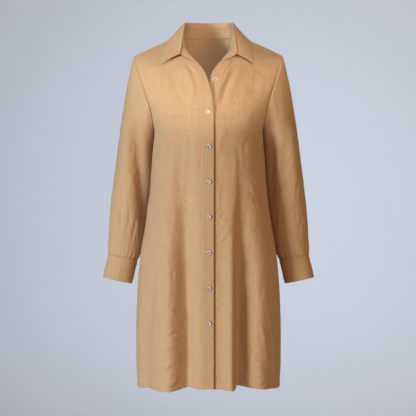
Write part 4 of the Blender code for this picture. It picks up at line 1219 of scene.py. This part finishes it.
plainFront = frontGrid("right")
plainBack = backGrid()
plainSleeve, turns = sleeveGrid(plainFront, plainBack)
cuffSheet = cuffGrid()
cuffNormal = normalsOf(cuffSheet)
cuffDown = runUp(cuffSheet)
for side in ("left", "right"):
    grid = finishedSleeve(side, plainSleeve, turns)
    sheets["sleeve_" + side], sheets["cuff_" + side] = grid, cuffSheet
    pieces["sleeve_" + side] = clothPiece("sleeveCloth_" + side, side, grid, normalsOf(grid, closed=True),
                                          sleeve["wall"], "sleeve_" + side, closed=True)
    pieces["cuff_" + side] = clothPiece("cuffCloth_" + side, side, cuffSheet, cuffNormal, cuff["wall"],
                                        "cuff_" + side)
    for fromTop in (cuff["edgeStitch"], float(cuffDown[-1].mean()) - cuff["edgeStitch"]):
        sewUpright(side, cuffSheet, cuffNormal, cuff["wall"], cuffDown, fromTop)
print("sleeves and cuffs made")

# collar

low, top, fold, edge = collarLines(plainFront, normalsOf(plainFront), -normalsOf(plainBack))
for node, name, grid in (("collar_stand", "collarStand", standGrid(low, top)),
                         ("collar_leaf", "collarLeaf", leafGrid(top, fold, edge))):
    sheets[node] = grid
    pieces[node] = clothPiece(name, "both", grid, normalsOf(grid), collar["wall"], node)
print("collar made")

for side in stitches:
    threadPiece("stitches_" + side, stitches[side], sewingThread)
print("stitches made")

# buttons: turned blanks with a rim, a dish and four holes, sewn on crosswise

button = {"radius": 7.0, "height": 2.6, "spacing": 91.75, "firstZ": -216.0, "count": 7, "openZ": -130.0,
          "fromEdge": 14.0, "dishShare": 0.66, "holeRadius": 0.95, "holeOut": 1.75,
          "shank": 0.6, "threadHeight": 0.62, "firstTurn": 8, "turnStep": 37, "sharpEdge": 35,
          "profile": ((0.84, 0.0), (1.0, 0.38), (0.985, 0.66), (0.94, 0.88), (0.86, 1.0), (0.76, 0.98),
                      (0.66, 0.8), (0.56, 0.56), (0.46, 0.44), (0.0, 0.42))}
hole = {"bars": 26, "pitch": 0.64, "slit": 0.35, "barLength": 1.5, "tackOut": 8.4, "tackPitch": 0.3,
        "tackHalf": 1.6, "lift": 0.05}


def buttonBlank():
    bpy.ops.mesh.primitive_circle_add(vertices=48, radius=button["profile"][0][0] * button["radius"] * mm,
                                      fill_type="NGON", location=(0, 0, 0))
    blank = bpy.context.object
    bpy.ops.object.mode_set(mode="EDIT")
    bpy.ops.mesh.select_all(action="SELECT")
    before = button["profile"][0]
    for share, height in button["profile"][1:-1]:
        bpy.ops.mesh.extrude_region_move(TRANSFORM_OT_translate={
            "value": (0, 0, (height - before[1]) * button["height"] * mm)})
        bpy.ops.transform.resize(value=(share / before[0], share / before[0], 1))
        before = (share, height)
    bpy.ops.mesh.select_all(action="SELECT")
    bpy.ops.mesh.normals_make_consistent(inside=False)
    bpy.ops.object.mode_set(mode="OBJECT")
    out = button["holeOut"] * mm
    for angle in (45, 135, 225, 315):
        turn = math.radians(angle)
        bpy.ops.mesh.primitive_cylinder_add(vertices=16, radius=button["holeRadius"] * mm, depth=0.02,
                                            location=(out * math.cos(turn), out * math.sin(turn), 0))
        drill = bpy.context.object
        cut = blank.modifiers.new("hole", "BOOLEAN")
        cut.object = drill
        cut.solver = "EXACT"
        bpy.context.view_layer.objects.active = blank
        bpy.ops.object.modifier_apply(modifier="hole")
        bpy.data.objects.remove(drill, do_unlink=True)
    return blank


def placeOn(side, z, height):
    # a point on the band, at the buttons' distance from its edge, and the way it faces
    grid, normal, runs = bands[side]
    heights = grid[:, 0, 2]
    i = int(np.argmax(heights > z))
    t = (z - heights[i - 1]) / (heights[i] - heights[i - 1])
    line = grid[i - 1] * (1 - t) + grid[i] * t
    facing = normal[i - 1] * (1 - t) + normal[i] * t
    at = button["fromEdge"]
    point = np.array([np.interp(at, runs[i], line[:, k]) for k in range(3)])
    face = unit(np.array([np.interp(at, runs[i], facing[:, k]) for k in range(3)]))
    return flipped(point + face * (band["wall"] / 2 + height), side), flipped(face, side)


def buttonAxes(facing):
    side = unit(np.cross([0, 0, 1.0], facing))
    return side, np.cross(facing, side)


def sewnButton(name, blank, place, facing, turn):
    side, up = buttonAxes(facing)
    c, s = math.cos(math.radians(turn)), math.sin(math.radians(turn))
    side, up = side * c + up * s, up * c - side * s
    mesh = blank.data.copy()
    shape = np.array([side, up, facing]).T
    inner = button["dishShare"] * button["radius"] * mm
    for face in mesh.polygons:
        # upward faces inside the hollow middle get the dark dish colour, which is painted shade
        face.material_index = 1 if face.normal.z > 0.2 and face.center.xy.length < inner else 0
        face.use_smooth = True
    spots = np.array([v.co for v in mesh.vertices]) @ shape.T + place * mm
    mesh.vertices.foreach_set("co", spots.astype(np.float32).ravel())
    mesh.materials.clear()
    mesh.materials.append(shell)
    mesh.materials.append(dish)
    mesh.update()
    piece = bpy.data.objects.new("sewn_" + name, mesh)
    bpy.context.collection.objects.link(piece)
    bpy.context.view_layer.objects.active = piece
    piece.select_set(True)
    bpy.ops.object.shade_smooth_by_angle(angle=math.radians(button["sharpEdge"]))
    piece.select_set(False)
    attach(piece, "root")
    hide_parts(name)
    # two threads crossing from hole to hole
    out = button["holeOut"] * 1.05 * 0.707
    high = place + facing * (button["height"] * button["threadHeight"])
    corners = [high + side * a * out + up * b * out for a, b in ((1, 1), (-1, -1), (1, -1), (-1, 1))]
    return [(corners[0], corners[1], facing), (corners[2], corners[3], facing)]


def buttonhole(place, facing):
    # satin bars down both sides of a slit along the edge, and a tack across each end
    side, up = buttonAxes(facing)
    bars = []
    for k in range(hole["bars"]):
        at = (k - (hole["bars"] - 1) / 2) * hole["pitch"]
        for way in (-1, 1):
            start = place + up * at + side * way * hole["slit"]
            bars.append((start, start + side * way * hole["barLength"], facing))
    for way in (-1, 1):
        for k in range(3):
            middle = place + up * way * (hole["tackOut"] + k * hole["tackPitch"])
            bars.append((middle - side * hole["tackHalf"], middle + side * hole["tackHalf"], facing))
    return bars


blank = buttonBlank()
buttonBars, holeBars = [], []
for k in range(button["count"] + 1):
    # the top one is undone, on the right; the others hold the left front over it
    isOpen = k == 0
    z = button["openZ"] if isOpen else button["firstZ"] - (k - 1) * button["spacing"]
    place, facing = placeOn("right" if isOpen else "left", z, button["shank"])
    turn = (button["firstTurn"] + button["turnStep"] * k) % 90
    buttonBars += sewnButton("button_" + str(k + 1), blank, place, facing, turn)
    holeBars += buttonhole(*placeOn("left", z, hole["lift"]))
bpy.data.objects.remove(blank, do_unlink=True)
threadPiece("buttonThread", buttonBars, buttonThread)
threadPiece("buttonholes", holeBars, sewingThread)
print("buttons made")

for side in ("left", "right"):
    for name, held, under in (("front_", "hung", "collar_stand"), ("band_", "laid", "front_" + side),
                              ("sleeve_", "hung", "front_" + side), ("cuff_", "hung", "sleeve_" + side)):
        stateSheet(pieces[name + side], sheets[name + side], closed=name == "sleeve_")
for name, held, under in (("back", "hung", "collar_stand"), ("collar_stand", "folded", "back"),
                          ("collar_leaf", "folded", "collar_stand")):
    stateSheet(pieces[name], sheets[name])
print("sheets stated")
